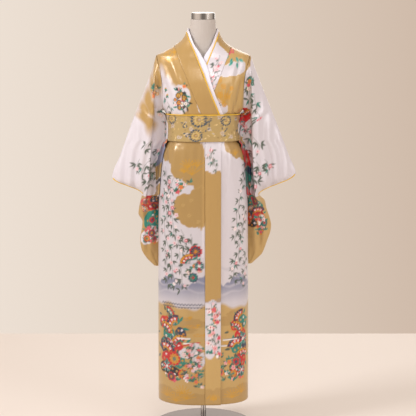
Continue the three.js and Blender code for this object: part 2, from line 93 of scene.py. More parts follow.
# Level sections of the worn kimono: height, half width, depth in front and behind, squareness.
BODY = {
    "z": [90, 400, 713, 985, 1098, 1145, 1180, 1200, 1216, 1262, 1314, 1330, 1350, 1400, 1450, 1500, 1533, 1555,
          1572, 1588, 1602, 1620, 1645, 1665],
    "wide": [188, 187, 185, 181.5, 175, 168.5, 160, 149, 139, 136, 139, 154, 163, 170, 176, 182, 186, 187, 152, 118,
             96, 79, 66, 62],
    "front": [124, 124, 124, 124, 122, 119, 116, 113, 111, 111, 112, 117, 121, 124, 120, 106, 90, 78, 72, 66, 63, 60,
              57, 56],
    "back": [124, 124, 124, 122, 118, 114, 109, 104, 101, 100, 102, 106, 109, 112, 113, 111, 105, 99, 93, 87, 82, 76,
             71, 69],
    "square": [2.5, 2.5, 2.5, 2.5, 2.45, 2.4, 2.35, 2.3, 2.3, 2.3, 2.3, 2.35, 2.35, 2.4, 2.4, 2.35, 2.3, 2.2, 2.1, 2,
               2, 2, 2, 2],
}
SLEEVES = {
    "right": {
        "side": -1, "wrist": (1057, 993),
        "z": [1552, 1530, 1500, 1400, 1300, 1150, 1057, 993, 960, 926, 900, 866, 836, 792, 750, 712, 680],
        "out": [190, 196, 205, 243, 283, 338, 372, 250, 257, 265, 268, 252, 255, 262, 257, 236, 205],
        "fold": [186.5, 189, 193, 199, 205, 215, 223, 233, 236, 235, 232, 230, 230, 228, 224, 208, 192],
    },
    "left": {
        "side": 1, "wrist": (1074, 990),
        "z": [1552, 1530, 1500, 1400, 1300, 1150, 1074, 990, 962, 924, 884, 852, 829, 785, 732, 708, 690],
        "out": [193, 200, 211, 250, 291, 349, 378, 230, 252, 261, 274, 281, 279, 265, 245, 222, 203],
        "fold": [187, 190, 194, 197, 199, 203, 206, 212, 224, 228, 230, 231, 230, 226, 214, 202, 192],
    },
}

# Soft creases: start and end across and up (mm), half width, depth (under 0 is a trough), side of the body.
CREASES = [
    (-150, 1530, -92, 1400, 13, -6.1, "front"),
    (-128, 1545, -60, 1372, 11, 4.3, "front"),
    (-160, 1470, -118, 1345, 12, -5.4, "front"),
    (-100, 1430, -88, 1336, 8, -4.1, "front"),
    (-136, 1400, -126, 1335, 7, 3.5, "front"),
    (-58, 1372, -66, 1334, 5, -2.7, "front"),
    (150, 1535, 100, 1400, 13, -5.7, "front"),
    (128, 1500, 96, 1350, 10, 4.3, "front"),
    (162, 1480, 130, 1340, 11, -5.7, "front"),
    (104, 1425, 92, 1334, 7, -4.6, "front"),
    (120, 1390, 112, 1334, 6, 3.5, "front"),
    (142, 1385, 128, 1334, 7, -4.1, "front"),
    (-148, 1186, -160, 1010, 15, -3.2, "front"),
    (-112, 1190, -128, 1060, 10, 2.2, "front"),
    (-84, 1190, -92, 1100, 8, -1.8, "front"),
    (-20, 1196, -26, 1120, 9, -1.4, "front"),
    (132, 1190, 148, 1020, 14, -3.0, "front"),
    (102, 1192, 110, 1080, 9, 2.0, "front"),
    (-128, 900, -136, 300, 24, -4.5, "front"),
    (-70, 760, -60, 150, 20, 2.5, "front"),
    (120, 860, 128, 240, 22, -4.0, "front"),
    (-150, 1500, -96, 1360, 14, -4.0, "back"),
    (148, 1505, 100, 1350, 14, -4.4, "back"),
    (-90, 1450, -60, 1340, 10, 2.8, "back"),
    (84, 1440, 62, 1335, 9, 2.6, "back"),
    (-130, 1190, -142, 980, 14, -3.2, "back"),
    (118, 1190, 140, 1000, 13, -3.0, "back"),
    (-60, 1185, -66, 1080, 10, 2.0, "back"),
    (52, 1186, 44, 1060, 9, -2.0, "back"),
    (-110, 880, -118, 260, 26, -4.6, "back"),
    (96, 900, 110, 220, 24, -4.4, "back"),
    (20, 700, 14, 180, 22, 2.8, "back"),
]


# The room: metres, and colours from 0 to 1.
WALL = ((0.84, 0.74, 0.65), (0.76, 0.65, 0.55), (0.63, 0.50, 0.405))  # left, middle and right tones
WALL_MIDDLE = 0.45  # how far across the middle tone lies
WALL_Y = 1.46  # where the floor ends at the wall
FLOOR_SIZE = 14
ROOM_LIGHT = (0.86, 0.73, 0.63)
ROOM_STRENGTH = 0.82
LAMP_AIM = (0, 0, 0.95)
LAMPS = (  # name, place, size, power, colour
    ("key", (-3.5, -1.7, 3.7), 1.0, 128, (0.98, 0.98, 1.0)),
    ("fill", (3.4, -3.2, 2.8), 2.2, 50, (0.97, 0.98, 1.0)),
    ("front", (0.4, -4.2, 4.4), 1.6, 50, (0.97, 0.98, 1.0)),
    ("back", (0.6, 3.8, 2.4), 2.8, 44, (1.0, 0.98, 0.96)),
)
EYE = {"place": (0.0196, -5.9, 2.014), "tilt": 79.6, "lens": 126.6, "film": 36}

# ---- sections ----


def smooth(a, b, v):
    """0 up to a and 1 from b on, with an even curve between."""
    s = np.clip((v - a) / (b - a), 0.0, 1.0)
    return s * s * (3 - 2 * s)


def mix(a, b, s):
    """The value at share s of the way from a to b."""
    return a + (b - a) * s


def column(table, key, z):
    """A smooth value of one column at height z: cubic between rows, level where the rows turn."""
    zs = np.array(table["z"], float)
    vs = np.array(table[key], float)
    if zs[0] > zs[-1]:
        zs, vs = zs[::-1], vs[::-1]
    rise = np.diff(vs) / np.diff(zs)
    slope = np.zeros(len(zs))
    slope[0], slope[-1] = rise[0], rise[-1]
    both = rise[:-1] * rise[1:]
    total = rise[:-1] + rise[1:]
    slope[1:-1] = np.where(both > 0, 2 * both / np.where(total == 0, 1, total), 0)
    z = np.clip(z, zs[0], zs[-1])
    i = np.clip(np.searchsorted(zs, z, side="right") - 1, 0, len(zs) - 2)
    span = zs[i + 1] - zs[i]
    s = (z - zs[i]) / span
    keep = s * s * (3 - 2 * s)
    return (
        vs[i] * (1 - keep)
        + vs[i + 1] * keep
        + s * (1 - s) ** 2 * span * slope[i]
        - s * s * (1 - s) * span * slope[i + 1]
    )


def section(t, z):
    """The body surface's x and y at angle t round it (0 the wearer's right, PI/2 the front) and height z."""
    power = 2 / column(BODY, "square", z)
    c, s = np.cos(t), np.sin(t)
    deep = np.where(s >= 0, column(BODY, "front", z), column(BODY, "back", z))
    return (
        -column(BODY, "wide", z) * np.sign(c) * np.abs(c) ** power,
        -deep * np.sign(s) * np.abs(s) ** power,
    )


def creases(x, y, z):
    """How far the cloth stands out at a place: soft troughs and ridges, and gathers next to the sash."""
    total = np.zeros_like(x)
    for x0, z0, x1, z1, half, depth, side in CREASES:
        dx, dz = x1 - x0, z1 - z0
        s = np.clip(((x - x0) * dx + (z - z0) * dz) / (dx * dx + dz * dz), 0, 1)
        away = np.hypot(x - x0 - s * dx, (z - z0 - s * dz) * 0.5)
        taper = np.sin(np.pi * np.clip(s * 0.88 + 0.06, 0, 1)) ** 0.6
        here = (y < 0) if side == "front" else (y >= 0)
        total += np.where(here, depth * taper * np.exp(-((away / half) ** 2)), 0)
    edge = smooth(0, 40, np.abs(y))  # side seams stay where they are
    wobble = np.sin(x * 0.21 + 1.3 * np.sin(x * 0.043 + 2.0 * (y > 0)) + z * 0.004)
    above = smooth(1318, 1334, z) * smooth(1420, 1340, z)
    below = smooth(1204, 1186, z) * smooth(1085, 1180, z)
    total += wobble * (2.1 * above * smooth(20, 80, np.abs(x)) + 0.9 * below)
    return total * edge * smooth(1560, 1520, z)


def body_point(t, z, out, pressed=0.0):
    """Points of the body surface moved out along its normal; pressed from 0 to 1 takes the creases away."""
    x, y = section(t, z)
    x1, y1 = section(t + 0.01, z)
    x0, y0 = section(t - 0.01, z)
    xa, ya = section(t, z + 2)
    xb, yb = section(t, z - 2)
    turn = np.stack([x1 - x0, y1 - y0, np.zeros_like(x)], -1)
    rise = np.stack([xa - xb, ya - yb, np.full_like(x, 4.0)], -1)
    normal = np.cross(turn, rise)
    normal /= np.maximum(np.linalg.norm(normal, axis=-1, keepdims=True), 1e-9)
    out = out + creases(x, y, z) * (1 - pressed)
    return np.stack([x, y, z + 0 * x], -1) + normal * np.asarray(out)[..., None]


def angle_at_x(x, z):
    """The angle round the front at which the body is x across."""
    share = np.minimum(1, np.abs(x) / column(BODY, "wide", z))
    return np.arccos(-np.sign(x) * share ** (column(BODY, "square", z) / 2))


def angle_at_y(y, z, key):
    """The angle from the side at which the body is y deep, in front or behind."""
    share = np.minimum(1, np.abs(y) / column(BODY, key, z))
    return np.arcsin(share ** (column(BODY, "square", z) / 2))


def width_at_y(y, z):
    """Half the body's width at a depth."""
    square = column(BODY, "square", z)
    deep = np.where(y < 0, column(BODY, "front", z), column(BODY, "back", z))
    return column(BODY, "wide", z) * np.maximum(0, 1 - (np.abs(y) / deep) ** square) ** (1 / square)


def neck_edge(z):
    """How far across the band's free edge is at a height."""
    return np.minimum(FRONT_EDGE_X, -66 + BAND_SLANT * (COLLAR_TOP_Z - z))


def neck_seam(z):
    """How far across the seam is that joins the band to its front."""
    return neck_edge(z) - mix(BAND_WIDTH, BAND_SPAN, smooth(1200, 1330, z))


def armhole(z):
    """Half the armhole's opening at a height."""
    s = np.clip((z - ARMHOLE_LOW_Z) / (SHOULDER_Z - ARMHOLE_LOW_Z), 0, 1)
    return ARMHOLE_OPEN_Y * np.maximum(0, np.sin(np.pi * s)) ** 0.6


def over_offset(x, z):
    """How far the upper front stands out over the under one."""
    return OVER * smooth(-165, -88, x) * smooth(1636, 1556, z)


# ---- the print, painted on each point of the cloth ----

GOLD = (0.45, 0.28, 0.092)
GOLD_LIGHT = (0.53, 0.345, 0.122)
LINE = (0.62, 0.29, 0.015)
AMBER = (0.60, 0.31, 0.022)
GROUND = (0.67, 0.635, 0.685)
LEAF = (0.065, 0.095, 0.068)
SAGE = (0.11, 0.145, 0.11)
TEAL = (0.012, 0.22, 0.17)
PINK = (0.66, 0.09, 0.14)
BLUSH = (0.84, 0.42, 0.45)
PALE = (0.80, 0.60, 0.64)
RED = (0.56, 0.010, 0.014)
NAVY = (0.016, 0.035, 0.085)
MIST = (0.20, 0.215, 0.33)
DARK = (0.012, 0.012, 0.018)
WHITE = (0.90, 0.88, 0.88)
ORANGE = (0.74, 0.24, 0.03)
SLATE = (0.07, 0.08, 0.12)
JADE = (0.10, 0.42, 0.36)
BROCADE = (0.53, 0.385, 0.165)
BROCADE_THREADS = ((0.86, 0.68, 0.36), (0.36, 0.24, 0.09), (0.72, 0.52, 0.22))
BROCADE_RING = (0.66, 0.46, 0.16)
BROCADE_PETAL = (0.62, 0.46, 0.15)
BROCADE_HEART = (0.72, 0.55, 0.22)
SILVER = (0.66, 0.58, 0.52)
SMOKE = (0.075, 0.11, 0.15)
PAINTED_SKIRT_SHADE = 0.85  # painted shade: how much darker the print is made on the wearer's right front of the skirt

# Widths over which a printed edge fades, in millimetres.
BROCADE_CRISP = 2.0
CRISP = 2.6
SLEEVE_CRISP = 2.8
EASY = 4
# Painted highlight: the wide fade of the chest's white cloud, standing for glare.
GLARE_FADE = 16
MISTY = 26

# Charts of the print: millimetres to a square across and down, and the row that lies at a height.
SKIRT_CHART = {"across": 3.95, "down": 4.148, "row": 143, "z": 1217}
CHEST_CHART = {"across": 3.93, "down": 4.12, "row": 115, "z": 1331}


class Print:
    """Colours on points of cloth. a is the way across and b the way up, in millimetres on the laid-out cloth."""

    def __init__(self, a, b, ground=GROUND, fine=CRISP):
        """Cloth of one colour; fine is the width over which printed edges fade."""
        self.a, self.b, self.fine = a, b, fine
        self.rgb = np.empty(a.shape + (3,))
        self.rgb[:] = ground

    def lay(self, cover, colour, where=None):
        """colour over what is there, by cover from 0 to 1."""
        cover = np.clip(cover, 0, 1)[..., None]
        if where is None:
            self.rgb = self.rgb * (1 - cover) + np.array(colour) * cover
        else:
            self.rgb[where] = self.rgb[where] * (1 - cover) + np.array(colour) * cover

    @contextmanager
    def within(self, mask):
        """What is painted in this block stays inside the mask."""
        keep = self.rgb.copy()
        yield
        self.rgb = np.where(mask[..., None], self.rgb, keep)

    def near(self, a, b, reach):
        """The points near a place, and their offsets from it."""
        where = (np.abs(self.a - a) < reach) & (np.abs(self.b - b) < reach)
        return where, self.a[where] - a, self.b[where] - b

    def edge(self, distance):
        """How much colour lies at a distance past an edge."""
        return 0.5 - distance / self.fine

    def petals(self, a, b, r, count, turn, colour, heart, rim=None, notch=0.35):
        """A flower of count petals."""
        where, x, y = self.near(a, b, r * 1.3)
        if not x.size:
            return
        angle = np.arctan2(y, x) + turn
        far = np.hypot(x, y)
        shape = r * (1 - notch * np.abs(np.sin(angle * count / 2)) ** 1.6)
        if rim:
            self.lay(self.edge(far - shape - 1.3), rim, where)
        self.lay(self.edge(far - shape), colour, where)
        if r > 9:
            self.lay(0.55 * self.edge(np.abs(far - r * 0.55) - 0.6), heart, where)
        self.lay(self.edge(far - r * 0.27), heart, where)

    def leaf(self, a, b, long, wide, turn, colour):
        """A pointed leaf that starts at a place."""
        where, x, y = self.near(a + math.cos(turn) * long / 2, b + math.sin(turn) * long / 2, long * 0.75)
        if not x.size:
            return
        along = x * math.cos(turn) + y * math.sin(turn)
        across = -x * math.sin(turn) + y * math.cos(turn)
        s = np.clip(along / long + 0.5, 0, 1)
        body = wide * np.sin(np.pi * s ** 0.8)
        past = np.maximum(0, np.abs(along) - long / 2)
        self.lay(self.edge(np.abs(across) - body + past), colour, where)

    def stroke(self, points, width, colour, strength=1.0):
        """A painted line through points."""
        for (a0, b0), (a1, b1) in zip(points, points[1:]):
            reach = math.hypot(a1 - a0, b1 - b0) / 2 + width + 2
            where, x, y = self.near((a0 + a1) / 2, (b0 + b1) / 2, reach)
            if not x.size:
                continue
            dx, dy = (a1 - a0) / 2, (b1 - b0) / 2
            s = np.clip((x * dx + y * dy) / max(dx * dx + dy * dy, 1e-6), -1, 1)
            self.lay(strength * self.edge(np.hypot(x - s * dx, y - s * dy) - width), colour, where)

    def cloud(self, lobes, colour, scallop=3.0, rim=None):
        """A scalloped cloud: the union of round lobes (a, b, radius across, radius up)."""
        d = np.full(self.a.shape, 1e3)
        for a, b, ra, rb in lobes:
            x, y = (self.a - a) / ra, (self.b - b) / rb
            count = max(4, round((ra + rb) / 8.5))
            lobe = scallop * np.abs(np.sin(np.arctan2(y, x) * count / 2 + a))
            d = np.minimum(d, (np.hypot(x, y) - 1) * min(ra, rb) - lobe)
        if rim:
            self.lay(self.edge(np.abs(d) - 1.0), rim)
        self.lay(self.edge(d), colour)
        return d

    def spray(self, rng, start, end, bend, size=1.0, blossoms=0.4, leaf=LEAF, bloom=(PINK, PALE, WHITE)):
        """A hanging branch: a curved stem with pointed leaves in threes and small five-petalled blossoms."""
        (a0, b0), (a1, b1) = start, end
        long = math.hypot(a1 - a0, b1 - b0)
        steps = max(3, int(long / (17 * size)))
        na, nb = -(b1 - b0) / long, (a1 - a0) / long
        stem = []
        for k in range(steps + 1):
            s = k / steps
            sway = bend * math.sin(math.pi * s) + rng.uniform(-2, 2)
            stem.append((mix(a0, a1, s) + na * sway, mix(b0, b1, s) + nb * sway))
        self.stroke(stem, 1.2, leaf, 0.6)
        for k, (a, b) in enumerate(stem[1:]):
            way = math.atan2(b - stem[k][1], a - stem[k][0])
            side = -1 if k % 2 else 1
            ta, tb = a + 5 * size * side * math.sin(way), b - 5 * size * side * math.cos(way)
            for turn in (-0.9, -0.2, 0.55):
                if rng.random() < 0.9:
                    shade = leaf if rng.random() < 0.93 else TEAL
                    way2 = way + side * -0.9 + turn + rng.uniform(-0.15, 0.15)
                    self.leaf(ta, tb, size * rng.uniform(17, 27), size * rng.uniform(2.3, 3.4), way2, shade)
            if rng.random() < blossoms:
                r = size * rng.uniform(5.5, 8.5)
                ba, bb = a - side * rng.uniform(5, 11) * size, b + rng.uniform(-6, 6) * size
                colour = bloom[int(rng.integers(len(bloom)))]
                self.petals(ba, bb, r, 5, rng.uniform(0, 6), colour, WHITE if colour is PINK else PINK, rim=PALE)

    def needles(self, a, b, r, start, end, count, colour=AMBER):
        """A fan of fine lines round a point, as pine needles or palm fronds are drawn."""
        for k in range(count):
            turn = mix(start, end, k / max(1, count - 1))
            mid = (a + 0.55 * r * math.cos(turn), b + 0.55 * r * math.sin(turn))
            tip = (a + r * math.cos(turn * 1.03), b + r * math.sin(turn * 1.03) - r * 0.06)
            self.stroke([(a, b), mid, tip], 1.5, colour, 0.95)

    def scroll(self, a, b, r, turns=1.5, colour=AMBER, turn=0.0):
        """A curl that winds in towards its middle."""
        pts = []
        for k in range(int(14 * turns) + 1):
            w = k / 14 * math.tau
            far = r * (1 - 0.75 * k / (14 * turns))
            pts.append((a + far * math.cos(w + turn), b + far * math.sin(w + turn)))
        self.stroke(pts, 1.3, colour, 0.9)

    def medallion(self, a, b, r, ring, petal, heart, count=12):
        """A round many-petalled flower in a scalloped ring."""
        self.petals(a, b, r * 1.22, count, 0.3, ring, petal, notch=0.12)
        self.petals(a, b, r, count, 0.0, petal, heart, notch=0.24)
        where, x, y = self.near(a, b, r * 1.2)
        if x.size:
            angle = np.arctan2(y, x)
            line = np.abs(np.sin(angle * count / 2)) < 0.2
            self.lay(0.6 * line * self.edge(np.hypot(x, y) - r * 0.85), ring, where)
        self.petals(a, b, r * 0.36, 8, 0.0, heart, ring, notch=0.2)

    def fan(self, a, b, r, turn, spread, colours):
        """An open folding fan: ribs, bands of colour and a scatter of dots on its leaf."""
        where, x, y = self.near(a, b, r * 1.1)
        if not x.size:
            return
        angle = (np.arctan2(y, x) - turn + math.pi) % math.tau - math.pi
        far = np.hypot(x, y)
        side = (np.abs(angle) - spread) * far
        leaf = np.maximum(np.maximum(far - r, r * 0.36 - far), side)
        self.lay(self.edge(leaf - 1.4), DARK, where)
        self.lay(self.edge(leaf), colours[0], where)
        self.lay(self.edge(np.maximum(leaf, r * 0.8 - far)), colours[1], where)
        self.lay(self.edge(np.maximum(leaf, far - r * 0.5)), colours[2], where)
        folds = np.abs(np.sin(angle * 9 / spread))
        self.lay(0.6 * (folds < 0.16) * self.edge(leaf), colours[3], where)
        ribs = np.maximum(np.maximum(far - r * 0.36, np.maximum(side, 0)), (np.abs(np.sin(angle * 5)) - 0.5) * 3)
        self.lay(self.edge(ribs), DARK, where)
        for k in (-0.6, 0, 0.6):
            w = turn + spread * k
            self.petals(a + 0.65 * r * math.cos(w), b + 0.65 * r * math.sin(w), r * 0.12, 5, w, WHITE, colours[1])

    def ball(self, a, b, r, colours):
        """A thread-wound ball with crossing bands."""
        where, x, y = self.near(a, b, r * 1.1)
        if not x.size:
            return
        far = np.hypot(x, y)
        self.lay(self.edge(far - r - 1), DARK, where)
        self.lay(self.edge(far - r), colours[0], where)
        for w, colour in ((0.5, colours[1]), (1.55, colours[2]), (2.6, colours[1])):
            across = np.abs(-x * math.sin(w) + y * math.cos(w))
            self.lay(self.edge(np.maximum(across - r * 0.17, far - r)), colour, where)
            self.lay(0.7 * self.edge(np.maximum(np.abs(across - r * 0.26) - 0.5, far - r)), WHITE, where)
        self.petals(a, b, r * 0.3, 8, 0.2, WHITE, colours[1])

    def wave(self, b, half, colour, strength, drift=0.0):
        """Level bands of mist whose edges come and go."""
        edge = b + 9 * np.sin(self.a * 0.021 + drift) + 5 * np.sin(self.a * 0.067 + 2 * drift)
        d = np.abs(self.b - edge) - half * (0.6 + 0.4 * np.sin(self.a * 0.034 + 1.7 * drift))
        self.lay(strength * np.clip(0.5 - d / 9, 0, 1), colour)


def unroll(x):
    """The length round the front from its middle to a place x across."""
    flat = np.interp(abs(x), [0, 100, 130, 157, 175, 183, 187, 200], [0, 101, 134, 166, 196, 214, 240, 262])
    return float(math.copysign(flat, x))


def spot(c, r, chart=SKIRT_CHART):
    """A chart place, in squares across from the middle and down from the neck, as millimetres on the cloth."""
    return unroll(c * chart["across"]), chart["z"] - (r - chart["row"]) * chart["down"]


def upper(c, r):
    """The same on the chest's chart."""
    return spot(c, r, CHEST_CHART)


BRIGHT = (
    (RED, LINE, TEAL, DARK),
    (TEAL, RED, NAVY, GOLD_LIGHT),
    (NAVY, TEAL, RED, WHITE),
    (RED, NAVY, LINE, GOLD_LIGHT),
    (TEAL, NAVY, RED, WHITE),
)


def garden(p, things):
    """Fans, thread balls and round flowers of many colours, set by a table of (a, b, kind, radius, turn, colours)."""
    for a, b, kind, r, turn, colours in things:
        colours = BRIGHT[colours % len(BRIGHT)]
        for k in range(5):
            w = turn + 2.5 * k
            p.leaf(a + 0.7 * r * math.cos(w), b + 0.5 * r * math.sin(w), r * 0.6, r * 0.12, w, (TEAL, LEAF)[k % 2])
        if kind == "fan":
            p.fan(a, b, r, turn, 0.95, colours)
        elif kind == "ball":
            p.ball(a, b, r, colours)
        else:
            p.medallion(a, b, r, colours[0], colours[1], colours[2], 10)


def busy(p, rng, a0, a1, b0, b1, count, sizes=(14, 26)):
    """The same things, packed over a patch of cloth."""
    kinds = ("fan", "ball", "fan", "flower")
    things = [
        (rng.uniform(a0, a1), b1 - (b1 - b0) * (k + 0.5) / count, kinds[k % 4], rng.uniform(*sizes) * (1.7 - k % 2),
         rng.uniform(0.3, 2.8), k)
        for k in range(count)
    ]
    garden(p, things)


def bed(p, rng, a0, a1, b0, b1, count, leafy=1.0):
    """Low flowers among leaves."""
    for k in range(count):
        a, b = rng.uniform(a0, a1), rng.uniform(b0, b1)
        for blade in range(3):
            p.leaf(a, b, rng.uniform(13, 22) * leafy, rng.uniform(2.6, 4.2), rng.uniform(0.1, 3.0),
                   (TEAL, LEAF)[blade % 2])
        if k % 2:
            p.petals(a, b, rng.uniform(7, 12), 5, rng.uniform(0, 6), (WHITE, BLUSH, PINK, ORANGE)[k // 2 % 4], PINK,
                     rim=LINE if k % 3 else None)


def squares(rows, chart=SKIRT_CHART):
    """Chart places (c, r, half width, half height) as cloud lobes in millimetres."""
    return [(*spot(c, r, chart), chart["across"] * w, chart["down"] * h) for c, r, w, h in rows]


def chest(rows):
    """The same on the chest's chart."""
    return squares(rows, CHEST_CHART)


def paint_front(a, b):
    """The whole front below and above the sash, as one print across both sides."""
    p = Print(a, b)
    rng = np.random.default_rng(11)
    front_ground(p, a, b)
    front_clouds(p)
    bed(p, rng, -116, -34, 1018, 1062, 11)
    front_sprays(p, rng)
    front_garden(p, rng)
    front_hem(p)
    # Painted shade: the print on the wearer's right front is darkened below the sash.
    p.rgb[(a < 0) & (b < WAIST_Z)] *= PAINTED_SKIRT_SHADE
    with p.within(b > WAIST_Z):
        paint_bodice(p, rng)
    return p.rgb


def front_ground(p, a, b):
    """Gold low on the skirt, with a bank of mist and rows of small waves over it."""
    edge = 545 + 10 * np.sin(a * 0.03) + 5 * np.sin(a * 0.083 + 1)
    p.lay(np.clip((edge - b) / 14 + 0.5, 0, 1), GOLD_LIGHT)
    top = 652 + 20 * np.sin(a * 0.043 + 1.2) + 11 * np.abs(np.sin(a * 0.11 + 0.4))
    bank = np.clip((top - b) / 7, 0, 1) * np.clip((b - 548) / 88, 0.12, 1)
    p.lay(np.where(b > edge, 0.92 * bank, 0), MIST)
    for height, drift in ((672, 0.4), (640, 2.0), (606, 3.1)):
        p.wave(height, 5, GROUND, 0.5, drift)
    p.wave(712, 6, MIST, 0.2, 2.2)
    for k in range(2):
        row = 551 - 12 * k
        for q in range(15):
            x = -176 + 13 * q + 6 * k
            if x < 0:
                for r in (6.5, 3.6):
                    where, dx, dz = p.near(x, row, 9)
                    ring = np.maximum(np.abs(np.hypot(dx, dz) - r) - 0.9, -dz)
                    p.lay(p.edge(ring), SLATE, where)
    p.cloud(squares([(-30, 318, 12, 3.4), (-16, 320, 13, 3.8), (-4, 322, 9, 3), (-24, 328, 16, 4)]), GOLD)
    p.cloud(squares([(34, 314, 10, 4), (22, 320, 10, 4.4), (40, 326, 13, 7)]), GOLD)
    for c, r in ((-20, 316), (-12, 324), (-26, 327), (-4, 333), (38, 318), (30, 330), (26, 342)):
        ca, cb = spot(c, r)
        for q in range(3):
            line = [(ca + x, cb + up - 5 * q) for x, up in ((-24, 0), (-6, 4), (10, 0), (26, 2))]
            p.stroke(line, 0.9, LINE, 0.8)
        p.scroll(ca + 28, cb, 8, 1.3)


def front_clouds(p):
    """Gold under the sash, running down the overlap to the large scalloped cloud."""
    p.cloud(squares([(-40, 148, 9, 14), (-28, 150, 12, 16), (-14, 158, 15, 20), (-24, 168, 9, 10), (-3, 175, 6, 30),
                     (-10, 178, 10, 6)]), GOLD)
    p.cloud(squares([(-17, 204, 12, 11), (-11, 213, 14, 12), (-22, 209, 8, 9), (-2, 206, 6, 19), (-6, 198, 8, 10)]),
            GOLD, rim=GOLD_LIGHT)
    p.cloud(squares([(46, 150, 14, 14), (36, 148, 9, 11), (29, 146, 7, 8)]), GOLD)
    for c, r, size in ((-11, 174, 50), (-15, 167, 36), (-6, 166, 30), (-19, 172, 22), (34, 156, 24)):
        p.needles(*spot(c, r), size, 0.6, 2.6, 6)
    for c, r in ((-20, 204), (-12, 199), (-14, 214), (-5, 220)):
        p.scroll(*spot(c, r), 8, 1.2, GOLD_LIGHT)


def front_sprays(p, rng):
    """Hanging sprays down both sides of the skirt."""
    for start, end, bend in (
        ((-40, 168), (-38, 196), 9), ((-30, 178), (-33, 200), -6), ((-42, 192), (-37, 222), 8),
        ((-36, 200), (-30, 232), 8), ((-40, 216), (-35, 250), -10), ((-30, 228), (-23, 258), 9),
        ((-22, 228), (-18, 244), 5), ((-41, 244), (-37, 284), 8), ((-32, 250), (-28, 284), -8),
        ((-24, 262), (-22, 288), 6), ((-12, 232), (-14, 256), 6),
    ):
        p.spray(rng, spot(*start), spot(*end), bend, 1.1, 0.22)
    for c, r in ((-31, 207), (-27, 214), (-33, 222), (-25, 236), (-29, 242), (-36, 238), (-33, 262), (-27, 268),
                 (-38, 274)):
        p.petals(*spot(c, r), 9, 5, r, PINK if r % 2 else PALE, WHITE if r % 2 else PINK, rim=PALE)
    for start, end, bend in (
        ((44, 162), (41, 186), 8), ((41, 188), (36, 214), -7), ((44, 204), (38, 236), 8), ((34, 214), (32, 240), 7),
        ((41, 232), (36, 262), -8), ((45, 250), (40, 284), 6), ((34, 256), (32, 280), -5),
    ):
        p.spray(rng, spot(*start), spot(*end), bend, 0.95, 0.3)


def front_garden(p, rng):
    """Fans, balls and flowers low on each side, and a hanging set of them by the overlap."""
    bed(p, rng, -172, -96, 232, 300, 26)
    bed(p, rng, 118, 178, 232, 300, 18)
    bed(p, rng, -62, -12, 690, 800, 12, 0.9)
    for x, z, wide, high, colour in (
        (-166, 470, 34, 26, RED), (-120, 486, 24, 22, TEAL), (-146, 424, 30, 28, TEAL), (-92, 432, 22, 26, NAVY),
        (-168, 376, 26, 32, NAVY), (-118, 374, 34, 30, RED), (-150, 322, 36, 28, RED), (-98, 316, 24, 30, TEAL),
        (-172, 282, 24, 22, DARK), (-128, 268, 34, 20, DARK),
        (176, 474, 24, 26, TEAL), (136, 462, 20, 22, RED), (164, 418, 28, 28, RED), (178, 366, 22, 30, NAVY),
        (140, 372, 24, 28, TEAL), (166, 314, 28, 30, RED), (138, 284, 28, 20, DARK),
    ):
        p.cloud([(x, z, wide, high)], colour, 2.5, rim=LINE)
        for k in range(5):
            w = 1.3 * k + x
            p.petals(x + 0.6 * wide * math.cos(w), z + 0.6 * high * math.sin(w), 5.5, 5, w,
                     (LINE, WHITE, GOLD_LIGHT)[k % 3], RED if colour is not RED else NAVY)
    garden(p, (
        (-30, 776, "flower", 22, 0.3, 3), (-52, 726, "fan", 40, 2.2, 0), (-16, 716, "ball", 18, 0.3, 2),
        (-40, 668, "flower", 17, 0.9, 2), (-158, 500, "fan", 40, 0.6, 1), (-112, 462, "fan", 46, 2.3, 3),
        (-172, 430, "fan", 44, 0.9, 0), (-132, 392, "ball", 24, 0.4, 1), (-92, 384, "fan", 42, 1.9, 0),
        (-166, 344, "fan", 50, 1.2, 3), (-120, 322, "flower", 24, 0.2, 0), (-158, 286, "ball", 22, 0.2, 1),
        (-84, 262, "flower", 17, 0.0, 0), (-134, 246, "flower", 16, 0.6, 3),
        (168, 488, "fan", 38, 2.4, 3), (134, 440, "fan", 38, 0.8, 0), (176, 400, "ball", 24, 0.4, 1),
        (146, 366, "fan", 46, 2.0, 3), (176, 320, "fan", 40, 1.5, 0), (140, 306, "flower", 20, 0.3, 1),
        (168, 268, "ball", 18, 0.4, 1), (128, 258, "flower", 16, 0.8, 0),
    ))
    for c, r, long in ((-20, 337, 26), (-12, 342, 30), (28, 339, 30), (20, 345, 16)):
        ca, cb = spot(c, r)
        p.stroke([(ca - long, cb), (ca + long, cb)], 3.0, WHITE, 0.85)
        p.stroke([(ca - long, cb + 3.6), (ca + long, cb + 3.6)], 1.0, SLATE, 0.7)
    p.stroke([(-110, 372), (-60, 388), (-16, 396)], 3.0, RED, 0.9)
    p.cloud(squares([(-16, 352, 8, 5), (-8, 350, 7, 8), (-4, 358, 6, 9)]), GROUND)
    bed(p, rng, -78, -4, 205, 372, 44)
    bed(p, rng, 62, 128, 222, 345, 24)
    p.spray(rng, (-40, 400), (-60, 260), 14, 1.1, 0.9)


def front_hem(p):
    """The gold hem with its fine line drawing."""
    p.cloud([(-170, 150, 70, 52), (-96, 140, 60, 44), (-30, 136, 60, 42), (40, 140, 60, 44), (110, 148, 60, 52),
             (176, 150, 60, 58)], GOLD)
    for c, r in ((-38, 398), (-28, 402), (-17, 399), (-22, 394), (30, 399), (40, 395)):
        p.needles(*spot(c, r), 40, 0.3, 2.85, 8)


